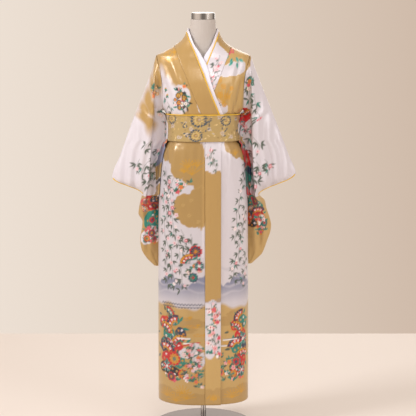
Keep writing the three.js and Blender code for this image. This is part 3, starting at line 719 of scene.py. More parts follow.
def paint_bodice(p, rng):
    """The chest, over the sash: the wearer's right, then the left."""
    p.rgb[:] = GOLD
    # Painted light: the gold on the wearer's left of the chest is the lighter one.
    p.rgb[p.a > 0] = GOLD_LIGHT
    p.cloud(chest([(-23, 42, 7, 6)]), GROUND, 1)
    bed(p, rng, -100, -76, 1615, 1640, 4, 0.7)
    # The white cloud is print; the wide soft fade of its upper lobes is a painted highlight.
    p.fine = GLARE_FADE
    p.cloud(chest([(-42, 84, 5, 13), (-38, 90, 8, 11), (-33, 94, 8, 8)]), GROUND, 0)
    p.fine = EASY
    p.cloud(chest([(-38, 95, 8, 9), (-34, 101, 9, 11), (-22.5, 98, 10, 11), (-29, 109, 13, 7), (-41, 108, 6, 12)]),
            GROUND, 2)
    p.fine = CRISP
    for c, r, size in ((-34, 66, 42), (-29, 58, 30), (-38, 58, 24)):
        p.needles(*upper(c, r), size, 0.4, 2.6, 6)
    bed(p, rng, -112, -68, 1338, 1442, 16, 0.8)
    for c, r in ((-25, 93), (-17, 97), (-26, 101), (-15, 103), (-20, 110), (-26, 108), (-21, 94), (-16, 108)):
        for k in range(3):
            p.leaf(*upper(c, r), 21, 3.6, c + 2.1 * k, (LEAF, DARK, TEAL)[k])
    for c, r, size in ((-21, 105, 11), (-25, 97, 10), (-18.5, 99, 10), (-24.5, 104, 9), (-17, 104.5, 8),
                       (-21.5, 95, 7), (-24, 109, 7), (-28, 101, 6)):
        p.medallion(*upper(c, r), size, DARK, (ORANGE, LINE, WHITE)[int(size) % 3], GOLD_LIGHT, 10)
    for c, r in ((-40, 92), (-38, 98), (-41, 103)):
        p.petals(*upper(c, r), 8, 6, c, (RED, TEAL, LINE)[r % 3], WHITE)
        p.leaf(*upper(c + 1, r), 17, 3.6, r, LEAF)
        p.leaf(*upper(c - 1, r), 17, 3.6, r + 2, TEAL)
    p.spray(rng, upper(-37, 104), upper(-33, 113), 3, 0.8, 0.2)
    p.cloud(chest([(15, 73, 8, 5), (23, 74, 8, 4.6), (31, 72, 8, 6), (38, 71, 6, 5.4)]), GROUND, rim=WHITE)
    p.cloud(chest([(4, 106, 9, 9), (12, 106, 7, 6), (19, 110, 6, 5)]), GROUND, rim=WHITE)
    for c, r, size in ((27, 50, 12), (30, 55, 11), (33, 50, 9), (26, 57, 8)):
        p.petals(*upper(c, r), size, 5, c, BLUSH if c % 2 else PINK, LINE, rim=PINK)
    for c, r, turn in ((26, 60, 3.6), (29, 62, 4.4), (33, 61, 5.2), (36, 63, 5.8), (30, 65, 3.9), (34, 66, 4.9)):
        p.leaf(*upper(c, r), 25, 5.4, turn, JADE)
        p.leaf(*upper(c, r), 16, 2.2, turn, TEAL)
    for c, r, size in ((16, 82, 13), (21, 88, 12), (17, 96, 13), (24, 98, 15), (22, 106, 10), (29, 90, 9)):
        p.scroll(*upper(c, r), size, 1.8, LINE, c)
        p.petals(*upper(c, r), size * 0.4, 7, 0, AMBER, GOLD, notch=0.3)
    p.needles(*upper(20, 106), 66, 0.9, 2.3, 7)
    p.spray(rng, upper(6, 104), upper(18, 110), 3, 0.8, 0.8)


def paint_back(a, b):
    """The back, as one print across its middle seam."""
    p = Print(a, b)
    rng = np.random.default_rng(23)
    edge = 520 + 14 * np.sin(a * 0.027 + 2) + 8 * np.sin(a * 0.08)
    p.lay(np.clip((edge - b) / 26 + 0.5, 0, 1), GOLD_LIGHT)
    for k, (height, half, strength) in enumerate(((650, 9, 0.3), (618, 12, 0.5), (588, 11, 0.6))):
        p.wave(height, half, MIST, strength, 0.9 * k + 2.0)
    p.cloud([(-150, 1500, 80, 92), (-60, 1530, 90, 80), (40, 1520, 90, 96), (140, 1490, 80, 84), (-90, 1420, 50, 40)],
            GOLD, 2.5, rim=GOLD_LIGHT)
    p.cloud([(-160, 1180, 60, 60), (-90, 1190, 70, 70), (0, 1200, 70, 80), (100, 1190, 70, 62), (170, 1170, 60, 50)],
            GOLD)
    p.cloud([(70, 930, 70, 50), (120, 900, 60, 44), (30, 900, 50, 30)], GOLD, 2.0, rim=GOLD_LIGHT)
    p.cloud([(-150, 800, 50, 36), (-110, 780, 50, 30)], GOLD, 2.0)
    for start, end, bend in (
        ((-150, 1400), (-130, 1250), 14), ((120, 1410), (140, 1270), -12), ((-20, 1380), (-50, 1260), 10),
        ((60, 1390), (70, 1290), 10), ((-150, 1100), (-130, 930), 16), ((-90, 1090), (-100, 900), -14),
        ((-30, 1080), (-20, 900), 14), ((60, 1090), (40, 960), 10), ((150, 1090), (160, 960), 9),
        ((-60, 880), (-40, 700), 14), ((40, 850), (60, 700), -12), ((140, 840), (120, 690), 12),
        ((-130, 740), (-140, 640), 8), ((0, 780), (10, 650), 9),
    ):
        p.spray(rng, start, end, bend, 1.15, 0.7)
    for x, z in ((-60, 1480), (90, 1470), (0, 1530)):
        p.needles(x, z, 40, 0.4, 2.7, 9)
    busy(p, rng, -170, -70, 250, 520, 17, (17, 30))
    busy(p, rng, 60, 170, 250, 520, 17, (17, 30))
    busy(p, rng, -50, 40, 290, 480, 6, (14, 22))
    p.cloud([(-170, 150, 70, 44), (-96, 150, 60, 38), (-30, 140, 60, 46), (40, 140, 60, 40), (110, 148, 60, 44),
             (176, 150, 60, 50)], GOLD)
    for x in (-140, -80, -10, 60, 130):
        p.needles(x, 156 + (x % 7), 30, 0.3, 2.85, 10)
    return p.rgb


def paint_band(a, b, side):
    """The long band: a runs from its free edge, b is the height at its free edge."""
    p = Print(a, b)
    rng = np.random.default_rng(5 if side == "right" else 6)
    p.lay(np.clip((338 - b + 12 * np.sin(a * 0.1)) / 8 + 0.5, 0, 1), GOLD_LIGHT)
    p.lay(np.clip(0.5 - (np.abs(b - 835) - 265 - 6 * np.sin(a * 0.13)) / 4, 0, 1), GOLD)
    p.wave(560, 9, MIST, 0.35, 1.0)
    for b0, b1 in ((1205, 1150), (1175, 1115), (575, 520), (540, 470), (480, 400), (420, 340)):
        p.spray(rng, (rng.uniform(12, 50), b0), (rng.uniform(12, 50), b1), 5, 0.85, 0.3 if b0 > 900 else 0.9, SAGE)
    bed(p, rng, 6, 56, 345, 545, 17, 0.8)
    for k in range(9):
        x, z = 12 + 19 * (k % 3) + rng.uniform(-5, 5), 350 + 22 * k
        p.leaf(x, z, 17, 3.4, rng.uniform(0.3, 2.8), LEAF)
        p.petals(x, z, rng.uniform(8, 11), 5, k, (PINK, BLUSH, WHITE)[k % 3], RED, rim=BLUSH)
    p.cloud([(10, 150, 40, 52), (54, 158, 30, 40)], GOLD)
    p.needles(32, 150, 28, 0.4, 2.7, 9)
    p.rgb[b > WAIST_Z] = GOLD
    if side == "left":
        with p.within(b > WAIST_Z):
            p.cloud([(30, 1560, 60, 66), (40, 1480, 44, 40), (20, 1620, 50, 40)], GROUND, 2.5, rim=WHITE)
            for b0, b1 in ((1610, 1540), (1570, 1500), (1530, 1460)):
                p.spray(rng, (rng.uniform(10, 50), b0), (rng.uniform(14, 50), b1), 5, 0.95, 0.9)
            for c in range(5):
                p.petals(20 + 7 * c, 1490 + 22 * c, 6.5, 5, c, (PINK, WHITE, BLUSH)[c % 3], PINK, rim=BLUSH)
    return p.rgb


def paint_sleeve(a, b, side, back):
    """A sleeve: a runs out from the armhole, b is the height."""
    p = Print(a, b, fine=SLEEVE_CRISP)
    rng = np.random.default_rng({"right": 31, "left": 47}[side] + (7 if back else 0))
    right = side == "right"
    if right and not back:
        p.fine = MISTY
        p.cloud([(10, 1540, 40, 50), (20, 1470, 30, 60), (56, 1440, 24, 50), (80, 1380, 28, 50), (106, 1335, 28, 44),
                 (122, 1300, 26, 40), (68, 1350, 30, 40), (98, 1290, 24, 36), (136, 1290, 22, 40)], GOLD, 0)
        p.fine = SLEEVE_CRISP
    elif right:
        p.cloud([(20, 1500, 60, 70), (80, 1400, 50, 60), (150, 1250, 40, 60), (40, 1300, 60, 40)], GOLD)
    elif back:
        p.cloud([(30, 1480, 60, 80), (110, 1330, 60, 60)], GOLD)
    else:
        p.cloud([(0, 1545, 14, 40)], GOLD)
    branches = (
        ((22, 1495), (30, 1445), 4), ((16, 1410), (34, 1330), 6), ((60, 1400), (76, 1350), -5),
        ((90, 1330), (104, 1280), 5), ((36, 1310), (46, 1230), 6), ((66, 1290), (84, 1225), -6),
        ((118, 1230), (140, 1180), 6), ((28, 1210), (40, 1130), 6), ((84, 1190), (100, 1120), -6),
        ((56, 1140), (72, 1080), 5), ((120, 1130), (142, 1085), 5), ((92, 1070), (120, 1030), 4),
        ((160, 1140), (178, 1100), 4), ((20, 1450), (30, 1380), 4), ((60, 1100), (110, 1064), 5),
        ((30, 1080), (76, 1036), 4),
    )
    for k, (start, end, bend) in enumerate(branches):
        if right and not back and (k in (0, 1, 2, 3, 5) or start[1] > 1290):
            continue
        p.spray(rng, start, end, bend, 1.15 if right else 1.3, 0.1 if right else 0.25, LEAF, (PINK, PALE))
    if right and not back:
        bed(p, rng, 18, 52, 1392, 1440, 9, 0.9)
        for q in ((30, 1430), (40, 1412), (24, 1404)):
            p.petals(*q, 8, 6, q[0], LINE, WHITE)
        p.needles(54, 1350, 26, 3.6, 5.6, 8, GOLD_LIGHT)
    elif not back:
        bed(p, rng, 10, 44, 1420, 1470, 8, 0.9)
    if not back:
        inner = p.a < (44 if right else 52) + 6 * np.sin(p.b * 0.03)
        inner &= (p.b < 1345) & (p.b > BAG_TOP_Z)
        with p.within(inner):
            paint_inner_fold(p, rng, right)
    bag = p.b < (BAG_TOP_Z + 3 + 12 * np.abs(np.sin(p.a * 0.06)) if back else BAG_TOP_Z)
    with p.within(bag):
        paint_bag(p, rng, right)
    return p.rgb


def paint_inner_fold(p, rng, right):
    """The fold of a sleeve next to the body, which has its own part of the print."""
    p.rgb[:] = GROUND
    if right:
        bands = ((1120, 1215, MIST), (1060, 1120, GOLD), (1042, 1056, DARK), (985, 1035, GOLD))
    else:
        bands = ((1282, 1346, RED), (1205, 1240, GOLD), (1120, 1205, RED), (1085, 1120, NAVY), (1020, 1085, TEAL),
                 (985, 1020, RED))
    for low, high, colour in bands:
        p.lay(p.edge(np.abs(p.b + 0.5 * p.a - 8 - (low + high) / 2) - (high - low) / 2), colour)
    if right:
        bed(p, rng, 6, 44, 1190, 1330, 10, 0.9)
    else:
        busy(p, rng, 6, 44, 1000, 1335, 9, (13, 18))


def paint_bag(p, rng, right):
    """The hanging bag of a sleeve: bright at the top, over plain gold at its foot."""
    # Painted light: the left sleeve's bag is the lighter gold and the right sleeve's bag the darker.
    p.rgb[:] = GOLD if right else GOLD_LIGHT
    if right:
        patches = ((62, 960, 30, 26, RED), (30, 930, 34, 40, RED), (44, 872, 36, 44, TEAL), (12, 900, 20, 40, TEAL),
                   (16, 968, 22, 16, NAVY))
        things = ((78, 925, "ball", 14, 0.4, 0), (28, 936, "flower", 15, 0.2, 3), (46, 876, "flower", 15, 0.2, 1),
                  (60, 960, "flower", 10, 0.2, 1))
    else:
        patches = ((30, 955, 40, 34, TEAL), (56, 930, 22, 24, TEAL), (34, 895, 30, 20, NAVY), (64, 880, 30, 34, RED),
                   (30, 862, 30, 16, DARK), (78, 868, 14, 30, WHITE), (14, 880, 16, 22, RED))
        things = ((34, 960, "flower", 16, 0.2, 3), (62, 900, "fan", 34, 1.6, 3), (90, 866, "flower", 15, 1.2, 2),
                  (72, 838, "flower", 13, 1.9, 0), (24, 926, "ball", 13, 1.9, 0))
    for x, z, wide, high, colour in patches:
        p.cloud([(x, z, wide, high)], colour, 2.0, rim=LINE)
    for x, z, wide, high, colour in patches:
        for k in range(4):
            w = 1.6 * k + x
            p.petals(x + 0.55 * wide * math.cos(w), z + 0.55 * high * math.sin(w), 5, 5, w,
                     (LINE, WHITE, GOLD_LIGHT)[k % 3], RED)
    garden(p, things)
    if right:
        p.cloud([(40, 815, 36, 34), (66, 800, 28, 28)], GROUND)
        bed(p, rng, 14, 82, 778, 842, 26, 0.9)
        garden(p, ((44, 820, "flower", 15, 0.3, 3), (64, 796, "flower", 12, 0.3, 0),
                   (30, 796, "flower", 11, 0.3, 1)))
    else:
        bed(p, rng, 56, 100, 812, 890, 14, 0.9)


def paint_sash(a, b):
    """Brocade: gold, with rings of flowers and small silver ones between."""
    p = Print(a, b, BROCADE, BROCADE_CRISP)
    rng = np.random.default_rng(3)
    for k in range(260):
        x, z = rng.uniform(-440, 440), rng.uniform(1212, 1320)
        p.leaf(x, z, rng.uniform(7, 15), rng.uniform(1.2, 2.4), rng.uniform(0, 6.3), BROCADE_THREADS[k % 3])
    for k in range(46):
        x, z = -430 + 19.5 * k + rng.uniform(-6, 6), rng.uniform(1222, 1322)
        p.petals(x, z, rng.uniform(7, 13), 5, k, SILVER if k % 3 else BROCADE_PETAL, GOLD, notch=0.4)
        p.leaf(x + 8, z - 6, 13, 2.4, rng.uniform(0, 6.3), SILVER)
    for x, z, r in ((-16, 1302, 27), (-28, 1238, 22), (-128, 1304, 19), (88, 1298, 19), (-230, 1240, 22),
                    (190, 1250, 22), (-330, 1300, 20), (300, 1296, 22), (-410, 1244, 20), (400, 1236, 20)):
        p.medallion(x, z, r, SMOKE, BROCADE_RING, SILVER, 14)
        p.petals(x, z, r * 0.62, 12, 0.1, BROCADE_HEART, SMOKE, notch=0.2)
        p.petals(x, z, r * 0.4, 8, 0.3, GOLD, SILVER, notch=0.2)
    for x in (19, 84, -70, 150, -180, 250, -280, 350):
        for _ in range(8):
            p.leaf(x + rng.uniform(-12, 12), 1240 + rng.uniform(0, 70), 13, 2.6, rng.uniform(0, 6.3), SMOKE)
    return p.rgb


# ---- grids made into pieces ----


def write_mesh(name, points, uv, rgb, close=False):
    """A grid of points in millimetres as a mesh, with a UV map in metres and the print's colours."""
    rows, cols = points.shape[:2]
    around = cols if close else cols - 1
    index = np.arange(rows * cols).reshape(rows, cols)
    right = np.roll(index, -1, axis=1)[:, :around]
    left = index[:, :around]
    quads = np.stack([left[:-1], right[:-1], right[1:], left[1:]], -1).reshape(-1, 4)
    mesh = bpy.data.meshes.new(name)
    mesh.vertices.add(rows * cols)
    mesh.vertices.foreach_set("co", (points.reshape(-1, 3) * MM).astype(np.float32).ravel())
    mesh.loops.add(quads.size)
    mesh.loops.foreach_set("vertex_index", quads.ravel().astype(np.int32))
    mesh.polygons.add(len(quads))
    mesh.polygons.foreach_set("loop_start", np.arange(0, quads.size, 4, dtype=np.int32))
    mesh.polygons.foreach_set("use_smooth", np.ones(len(quads), bool))
    mesh.update(calc_edges=True)
    layer = mesh.uv_layers.new(name="cut")
    layer.data.foreach_set("uv", (uv.reshape(-1, 2)[quads.ravel()] * MM).astype(np.float32).ravel())
    colours = mesh.color_attributes.new("print", "FLOAT_COLOR", "POINT")
    colours.data.foreach_set("color", np.concatenate([rgb.reshape(-1, 3), np.ones((rows * cols, 1))], 1)
                             .astype(np.float32).ravel())
    obj = bpy.data.objects.new(name, mesh)
    bpy.context.scene.collection.objects.link(obj)
    return obj


def select_only(obj):
    """Leaves one object selected and active."""
    bpy.ops.object.select_all(action="DESELECT")
    obj.select_set(True)
    bpy.context.view_layer.objects.active = obj


def thicken(obj, thick):
    """Gives a sheet its thickness, in metres, towards its inside."""
    select_only(obj)
    bpy.ops.object.modifier_add(type="SOLIDIFY")
    wall = obj.modifiers[-1]
    wall.thickness = thick
    wall.offset = -1
    bpy.ops.object.modifier_apply(modifier=wall.name)


def finish_piece(obj, node, look):
    """Gives a piece its material and puts it in the place of its node."""
    obj.data.materials.clear()
    obj.data.materials.append(look)
    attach(obj, "root")
    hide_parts(node)


def across(points):
    """Lengths along each row of a grid, from its first point."""
    step = np.linalg.norm(np.diff(points, axis=1), axis=2)
    return np.concatenate([np.zeros((len(points), 1)), np.cumsum(step, axis=1)], 1)


def signed_arc(t, z, middle):
    """Length round the body's level line from its middle (PI/2 or 3*PI/2) to t, growing towards +X."""
    s = np.linspace(0, 1, 60)[:, None, None]
    angles = middle + (t - middle) * s
    x, y = section(angles, np.broadcast_to(z, angles.shape))
    long = np.hypot(np.diff(x, axis=0), np.diff(y, axis=0)).sum(0)
    return np.sign(section(t, z)[0]) * long


def heights(fine):
    """Rows of a panel, closer together by the sash."""
    parts = [(HEM_Z, 1150, fine), (1150, 1350, fine * 0.8), (1350, NECK_SEAM_Z, fine)]
    rows = [np.arange(low, high, step) for low, high, step in parts]
    return np.concatenate(rows + [np.array([float(NECK_SEAM_Z)])])


def panel(side, back, columns, fine):
    """A front or back as a grid of points, with its places across and up the print."""
    z = heights(fine)[:, None]
    start = angle_at_y(armhole(z) + 0.25, z, "back" if back else "front")
    if back:
        stop = np.full_like(z, math.pi / 2 - 0.001)
    else:
        stop = np.maximum(angle_at_x(neck_seam(z) - 0.2, z), start + 0.03)
    u = np.linspace(0, 1, columns)[None, :]
    t = mix(start, stop, u)
    z = np.broadcast_to(z, t.shape)
    out = over_offset(section(t, z)[0], z) if (side < 0 and not back) else np.zeros_like(t)
    if back:
        place = -t if side < 0 else math.pi + t
        middle = -math.pi / 2 if side < 0 else 1.5 * math.pi
    else:
        place = t if side < 0 else math.pi - t
        middle = math.pi / 2
    points = body_point(place, z, out)
    a = signed_arc(place, z, middle)
    if (side < 0) == back:
        points, a, z = points[:, ::-1], a[:, ::-1], z[:, ::-1]
    return points, a, z


def rulings(low):
    """Places across the neckband from the hem up the front edge and round to the middle of the back."""
    pairs = [(z, z) for z in np.arange(low, BAND_BEND[0][0], 6.0)]
    for (e0, s0), (e1, s1) in zip(BAND_BEND, BAND_BEND[1:]):
        pairs += [(mix(e0, e1, k / 6), mix(s0, s1, k / 6)) for k in range(6)]
    pairs.append(BAND_BEND[-1])
    e, s = np.array(pairs, float).T
    te, ts = angle_at_x(neck_edge(e), e), angle_at_x(neck_seam(s), s)
    end = float(angle_at_x(neck_seam(np.array(float(NECK_SEAM_Z))), np.array(float(NECK_SEAM_Z))))
    k = np.array([0, 0.05, 0.2, 0.4, 0.6, 0.8, 1])
    back = -math.pi / 2 + 0.002
    te2, ze2 = mix(0.0, back, k), COLLAR_TOP_Z - 4 * k
    ts2, zs2 = mix(end, back, smooth(0, 1, k) ** 0.6), np.full(7, NECK_SEAM_Z + 0.5)
    grid = []
    for first, then in ((te, te2), (e, ze2), (ts, ts2), (s, zs2)):
        grid.append(np.concatenate([first, np.interp(np.linspace(0, 6, BACK_RULINGS), np.arange(7), then)]))
    return grid


def over_lift(z, t):
    """How far the upper band stands out over the under one."""
    return (OVER - 2) * smooth(1643, 1580, z) * smooth(-0.9, 0.5, t)


def neck_strip(side, low, span, columns, over, under):
    """A strip along the neckband, from a height low up to the middle of the back.

    span is its place across, 0 at the free edge and 1 at the seam. over and under are how far it stands out on the
    upper side and on the under side.
    """
    te, ze, ts, zs = rulings(low)
    v = np.linspace(span[0], span[1], columns)[None, :]
    t = mix(te[:, None], ts[:, None], v)
    z = mix(ze[:, None], zs[:, None], v)
    out = over_lift(z, t) + over if side < 0 else np.full(t.shape, under)
    place = t if side < 0 else math.pi - t
    points = body_point(place, z, out)
    a = np.broadcast_to(v * BAND_WIDTH, t.shape)
    step = np.linalg.norm(np.diff(points[:, 0], axis=0), axis=1)
    b = np.broadcast_to((low + np.concatenate([[0], np.cumsum(step)]))[:, None], t.shape)
    if side < 0:
        points, a, b = points[:, ::-1], a[:, ::-1], b[:, ::-1]
    return points, a, b


def sleeve_line(sleeve, z):
    """Nine control places of a sleeve's level section at height z, from the front of the armhole to its back."""
    out = float(column(sleeve, "out", z))
    fold = float(column(sleeve, "fold", z))
    low = sleeve["wrist"][1]
    hang = float(smooth(ARMHOLE_LOW_Z + 4, ARMHOLE_LOW_Z - 55, z))
    bag = float(smooth(low + 12, low - 75, z))
    top = float(smooth(SLEEVE_TOP_Z - 110, SLEEVE_TOP_Z, z))
    opening = max(float(armhole(z)), 3)

    def hole(key, sign):
        """A place on the armhole's edge, or on the side seam under it."""
        t = -sign * angle_at_y(opening - 0.4, z, key)
        return (-float(section(t, z)[0]), sign * opening)

    def free(y, least):
        """A place at depth y, clear of the body."""
        return (max(float(width_at_y(y, z)) + HANG_CLEAR, least), y)

    def blend(p, q, s):
        """The place at share s of the way from p to q."""
        return (mix(p[0], q[0], s), mix(p[1], q[1], s))

    front = blend(hole("front", -1), free(mix(-46, 56, bag), mix(132, 160, float(smooth(1200, 1080, z)))), hang)
    back = blend(hole("back", 1), free(94, 118), hang)
    fold_y = mix(mix(-56, -14, top), mix(22, 40, float(smooth(900, 720, z))), bag)
    valley = mix(-30, 34, hang)
    dip = mix(mix(mix(front[1], valley, 0.5), mix(front[1], fold_y, 0.7), bag), front[1], top)
    tip = mix(0, 50, bag)
    return [
        front,
        (mix(front[0], fold, 0.4), dip),
        (mix(front[0], fold, mix(0.75, 0.88, hang * (1 - bag))), mix(dip, fold_y, 0.3)),
        (fold, fold_y),
        (mix(fold, out, 0.5), mix(fold_y, tip, mix(0.4, 0.12, bag))),
        (out, tip),
        (mix(out, back[0], 0.4), mix(mix(42, 16, top), 70, bag)),
        (mix(out, back[0], 0.8), mix(mix(56, 13, top), 86, max(bag, hang * 0.6))),
        back,
    ]


def through(places, count):
    """A centripetal Catmull-Rom curve through places, with count points on each span."""
    p = np.array(places)
    p = np.concatenate([[2 * p[0] - p[1]], p, [2 * p[-1] - p[-2]]])
    pieces = []
    for k in range(1, len(p) - 2):
        q = p[k - 1 : k + 3]
        d = np.maximum(np.linalg.norm(np.diff(q, axis=0), axis=1) ** 0.5, 1e-4)
        t0, t1 = 0.0, d[0]
        t2, t3 = t1 + d[1], t1 + d[1] + d[2]
        t = np.linspace(t1, t2, count[k - 1] + 1)[:-1, None]
        a1 = (t1 - t) / (t1 - t0) * q[0] + (t - t0) / (t1 - t0) * q[1]
        a2 = (t2 - t) / (t2 - t1) * q[1] + (t - t1) / (t2 - t1) * q[2]
        a3 = (t3 - t) / (t3 - t2) * q[2] + (t - t2) / (t3 - t2) * q[3]
        b1 = (t2 - t) / (t2 - t0) * a1 + (t - t0) / (t2 - t0) * a2
        b2 = (t3 - t) / (t3 - t1) * a2 + (t - t1) / (t3 - t1) * a3
        pieces.append((t2 - t) / (t2 - t1) * b1 + (t - t1) / (t2 - t1) * b2)
    return np.concatenate(pieces + [p[-2:-1]])


def sleeve_grid(sleeve):
    """Points of a sleeve's wall, row by row from the top, and the heights of its rows."""
    foot = sleeve["z"][-1]
    rows = np.concatenate([np.arange(SLEEVE_TOP_Z, foot + 14, -3.4), [foot + 10, foot + 5, foot + 2, foot]])
    high = sleeve["wrist"][0]
    rings = []
    for z in rows:
        line = through(sleeve_line(sleeve, z), SLEEVE_COUNTS)
        x, y = line[:, 0], line[:, 1]
        in_x, out = x[0], float(column(sleeve, "out", z))
        share = np.clip((x - in_x) / max(out - in_x, 1), 0, 1)
        depth = WAVE_DEPTH * float(smooth(SLEEVE_TOP_Z - 60, high, z)) * float(smooth(690, 800, z))
        lean = (SLEEVE_TOP_Z - z) * (x - 200) / 2400
        wave = np.sin(2 * np.pi * (x - in_x + lean) / WAVE_LENGTH)
        y = y + depth * 0.5 * np.sin(np.pi * share) ** 0.7 * wave
        fine = 0.9 * np.sin(x * 0.11 + z * 0.006) * np.sin(z * 0.012 + x * 0.02) * np.sin(np.pi * share)
        y = y + fine
        keep = mix(1.5, 14.5, float(smooth(1180, 1202, z)) * float(smooth(1345, 1326, z)))
        clear = width_at_y(y, z) + keep
        if armhole(z) > 12:
            clear[[0, -1]] -= keep
        x = np.maximum(x, clear)
        rings.append(np.stack([sleeve["side"] * x, y, np.full_like(x, z)], -1))
    top = rings[0]
    crest = []
    for w in CREST:
        ring = top.copy()
        ring[:, 1] = top[:, 1].mean() + (top[:, 1] - top[:, 1].mean()) * math.cos(w)
        first = np.abs(top[0, 0])
        ring[:, 0] = sleeve["side"] * (first + (np.abs(top[:, 0]) - first) * (0.3 + 0.7 * math.cos(w)))
        ring[:, 2] = top[:, 2] + CREST_RISE * math.sin(w)
        crest.append(ring)
    rows = np.concatenate([SLEEVE_TOP_Z + CREST_RISE * np.sin(CREST), rows])
    return np.array(crest + rings), rows


def build_sleeve(name, thick):
    """A sleeve with its front and back, its foot closed and its wrist open; gives its grid too."""
    sleeve = SLEEVES[name]
    points, rows = sleeve_grid(sleeve)
    arc = across(points)
    z = np.broadcast_to(rows[:, None], arc.shape)
    front = paint_sleeve(arc[:, : TIP + 1], z[:, : TIP + 1], name, False)
    back = paint_sleeve((arc[:, -1:] - arc)[:, TIP:], z[:, TIP:], name, True)
    rgb = np.concatenate([front, back[:, 1:]], 1)
    uv = np.stack([arc, z], -1)
    way = slice(None) if sleeve["side"] < 0 else slice(None, None, -1)
    obj = write_mesh(f"sleeve_{name}_satin", points[:, way], uv[:, way], rgb[:, way])
    across_wrist = wrist_points(obj, sleeve["wrist"], points, rows)
    close_sleeve_foot(obj, foot_z=rows[-1] * MM)
    open_wrist(obj, across_wrist)
    thicken(obj, thick)
    finish_piece(obj, f"sleeve_{name}", satin())
    return obj, points, rows


def wrist_points(obj, wrist, points, rows):
    """Which points of a sleeve lie across its slanted wrist opening."""
    high, low = wrist
    edge = np.array([np.abs(row[:, 0]).max() for row in points])
    co = np.empty(len(obj.data.vertices) * 3, np.float32)
    obj.data.vertices.foreach_get("co", co)
    co = co.reshape(-1, 3) / MM
    limit = np.interp(co[:, 2], rows[::-1], edge[::-1]) - WRIST_CUT
    return (co[:, 2] < high - 1) & (co[:, 2] > low + 1) & (np.abs(co[:, 0]) > limit)


def open_wrist(obj, inside):
    """Takes out the faces between marked points."""
    bm = bmesh.new()
    bm.from_mesh(obj.data)
    bm.verts.ensure_lookup_table()
    marked = set(np.nonzero(inside)[0].tolist())
    gone = [f for f in bm.faces if all(v.index in marked for v in f.verts)]
    bmesh.ops.delete(bm, geom=gone, context="FACES")
    bm.to_mesh(obj.data)
    bm.free()


def close_sleeve_foot(obj, foot_z):
    """Stitches the sleeve's two faces together along its foot."""
    bm = bmesh.new()
    bm.from_mesh(obj.data)
    low = sorted((v for v in bm.verts if abs(v.co.z - foot_z) < 1e-6), key=lambda v: v.index)
    n = len(low)
    uv = bm.loops.layers.uv.active
    for i in range(n // 2 - 1):
        a, b, c, d = low[i], low[i + 1], low[n - 2 - i], low[n - 1 - i]
        if len({a, b, c, d}) == 4:
            face = bm.faces.new((a, d, c, b))
            face.smooth = True
            for loop in face.loops:
                source = next(q for q in loop.vert.link_loops if q.face is not face)
                loop[uv].uv = source[uv].uv
    bm.normal_update()
    bm.to_mesh(obj.data)
    bm.free()


def tube(line, radii):
    """A rounded cord through points in millimetres; radii are its half sizes across and out."""
    line = np.asarray(line)
    way = np.gradient(line, axis=0)
    way /= np.linalg.norm(way, axis=1, keepdims=True)
    outward = line * [1, 1, 0]
    outward /= np.linalg.norm(outward, axis=1, keepdims=True)
    flat = np.cross(way, outward)
    flat /= np.linalg.norm(flat, axis=1, keepdims=True)
    outward = np.cross(flat, way)
    w = np.linspace(0, math.tau, CORD_SIDES, endpoint=False)
    ring = (np.cos(w)[None, :, None] * flat[:, None] * radii[0]
            + np.sin(w)[None, :, None] * outward[:, None] * radii[1])
    return line[:, None] + ring


def close_up(obj):
    """Closes a cord's seam and ends, and turns its faces outwards."""
    select_only(obj)
    bpy.ops.object.mode_set(mode="EDIT")
    bpy.ops.mesh.select_all(action="SELECT")
    bpy.ops.mesh.remove_doubles(threshold=MERGE)
    bpy.ops.mesh.fill_holes(sides=CORD_SIDES)
    bpy.ops.mesh.normals_make_consistent(inside=False)
    bpy.ops.object.mode_set(mode="OBJECT")


def sew_cord(node, ending, line, radii):
    """A cord along a line, sewn on in the place of its node."""
    ring = tube(line, radii)
    obj = write_mesh(f"{node}_{ending}", ring, np.zeros(ring.shape[:2] + (2,)), np.ones(ring.shape), close=True)
    close_up(obj)
    finish_piece(obj, node, piping())


# ---- materials ----

# Places and greys of the reflection bands painted into the chrome's colour, from one side to the other.
CHROME_REFLECTION_BANDS = ((0.0, 0.16), (0.08, 0.30), (0.2, 0.85), (0.34, 0.80), (0.46, 0.22), (0.58, 0.26), (0.7, 0.85),
                (0.86, 0.55), (0.94, 0.12))
# The grey painted at the chrome's far edge, also a painted reflection.
CHROME_EDGE_REFLECTION = (0.35, 0.34, 0.33)
RIPPLE_SCALE = 22.0  # soft waves to a metre
RIPPLE_SQUASH = 0.35  # how far they are drawn out up and down


class Wire:
    """A socket that can stand in an expression; what is worked out from it becomes Math nodes."""

    def __init__(self, looks, socket):
        self.looks, self.socket = looks, socket

    def maths(self, operation, other):
        """A Math node of this socket and another value."""
        return self.looks.add("Math", {"operation": operation}, {0: self, 1: other})

    def __add__(self, other):
        return self.maths("ADD", other)

    def __mul__(self, other):
        return self.maths("MULTIPLY", other)

    __radd__ = __add__
    __rmul__ = __mul__


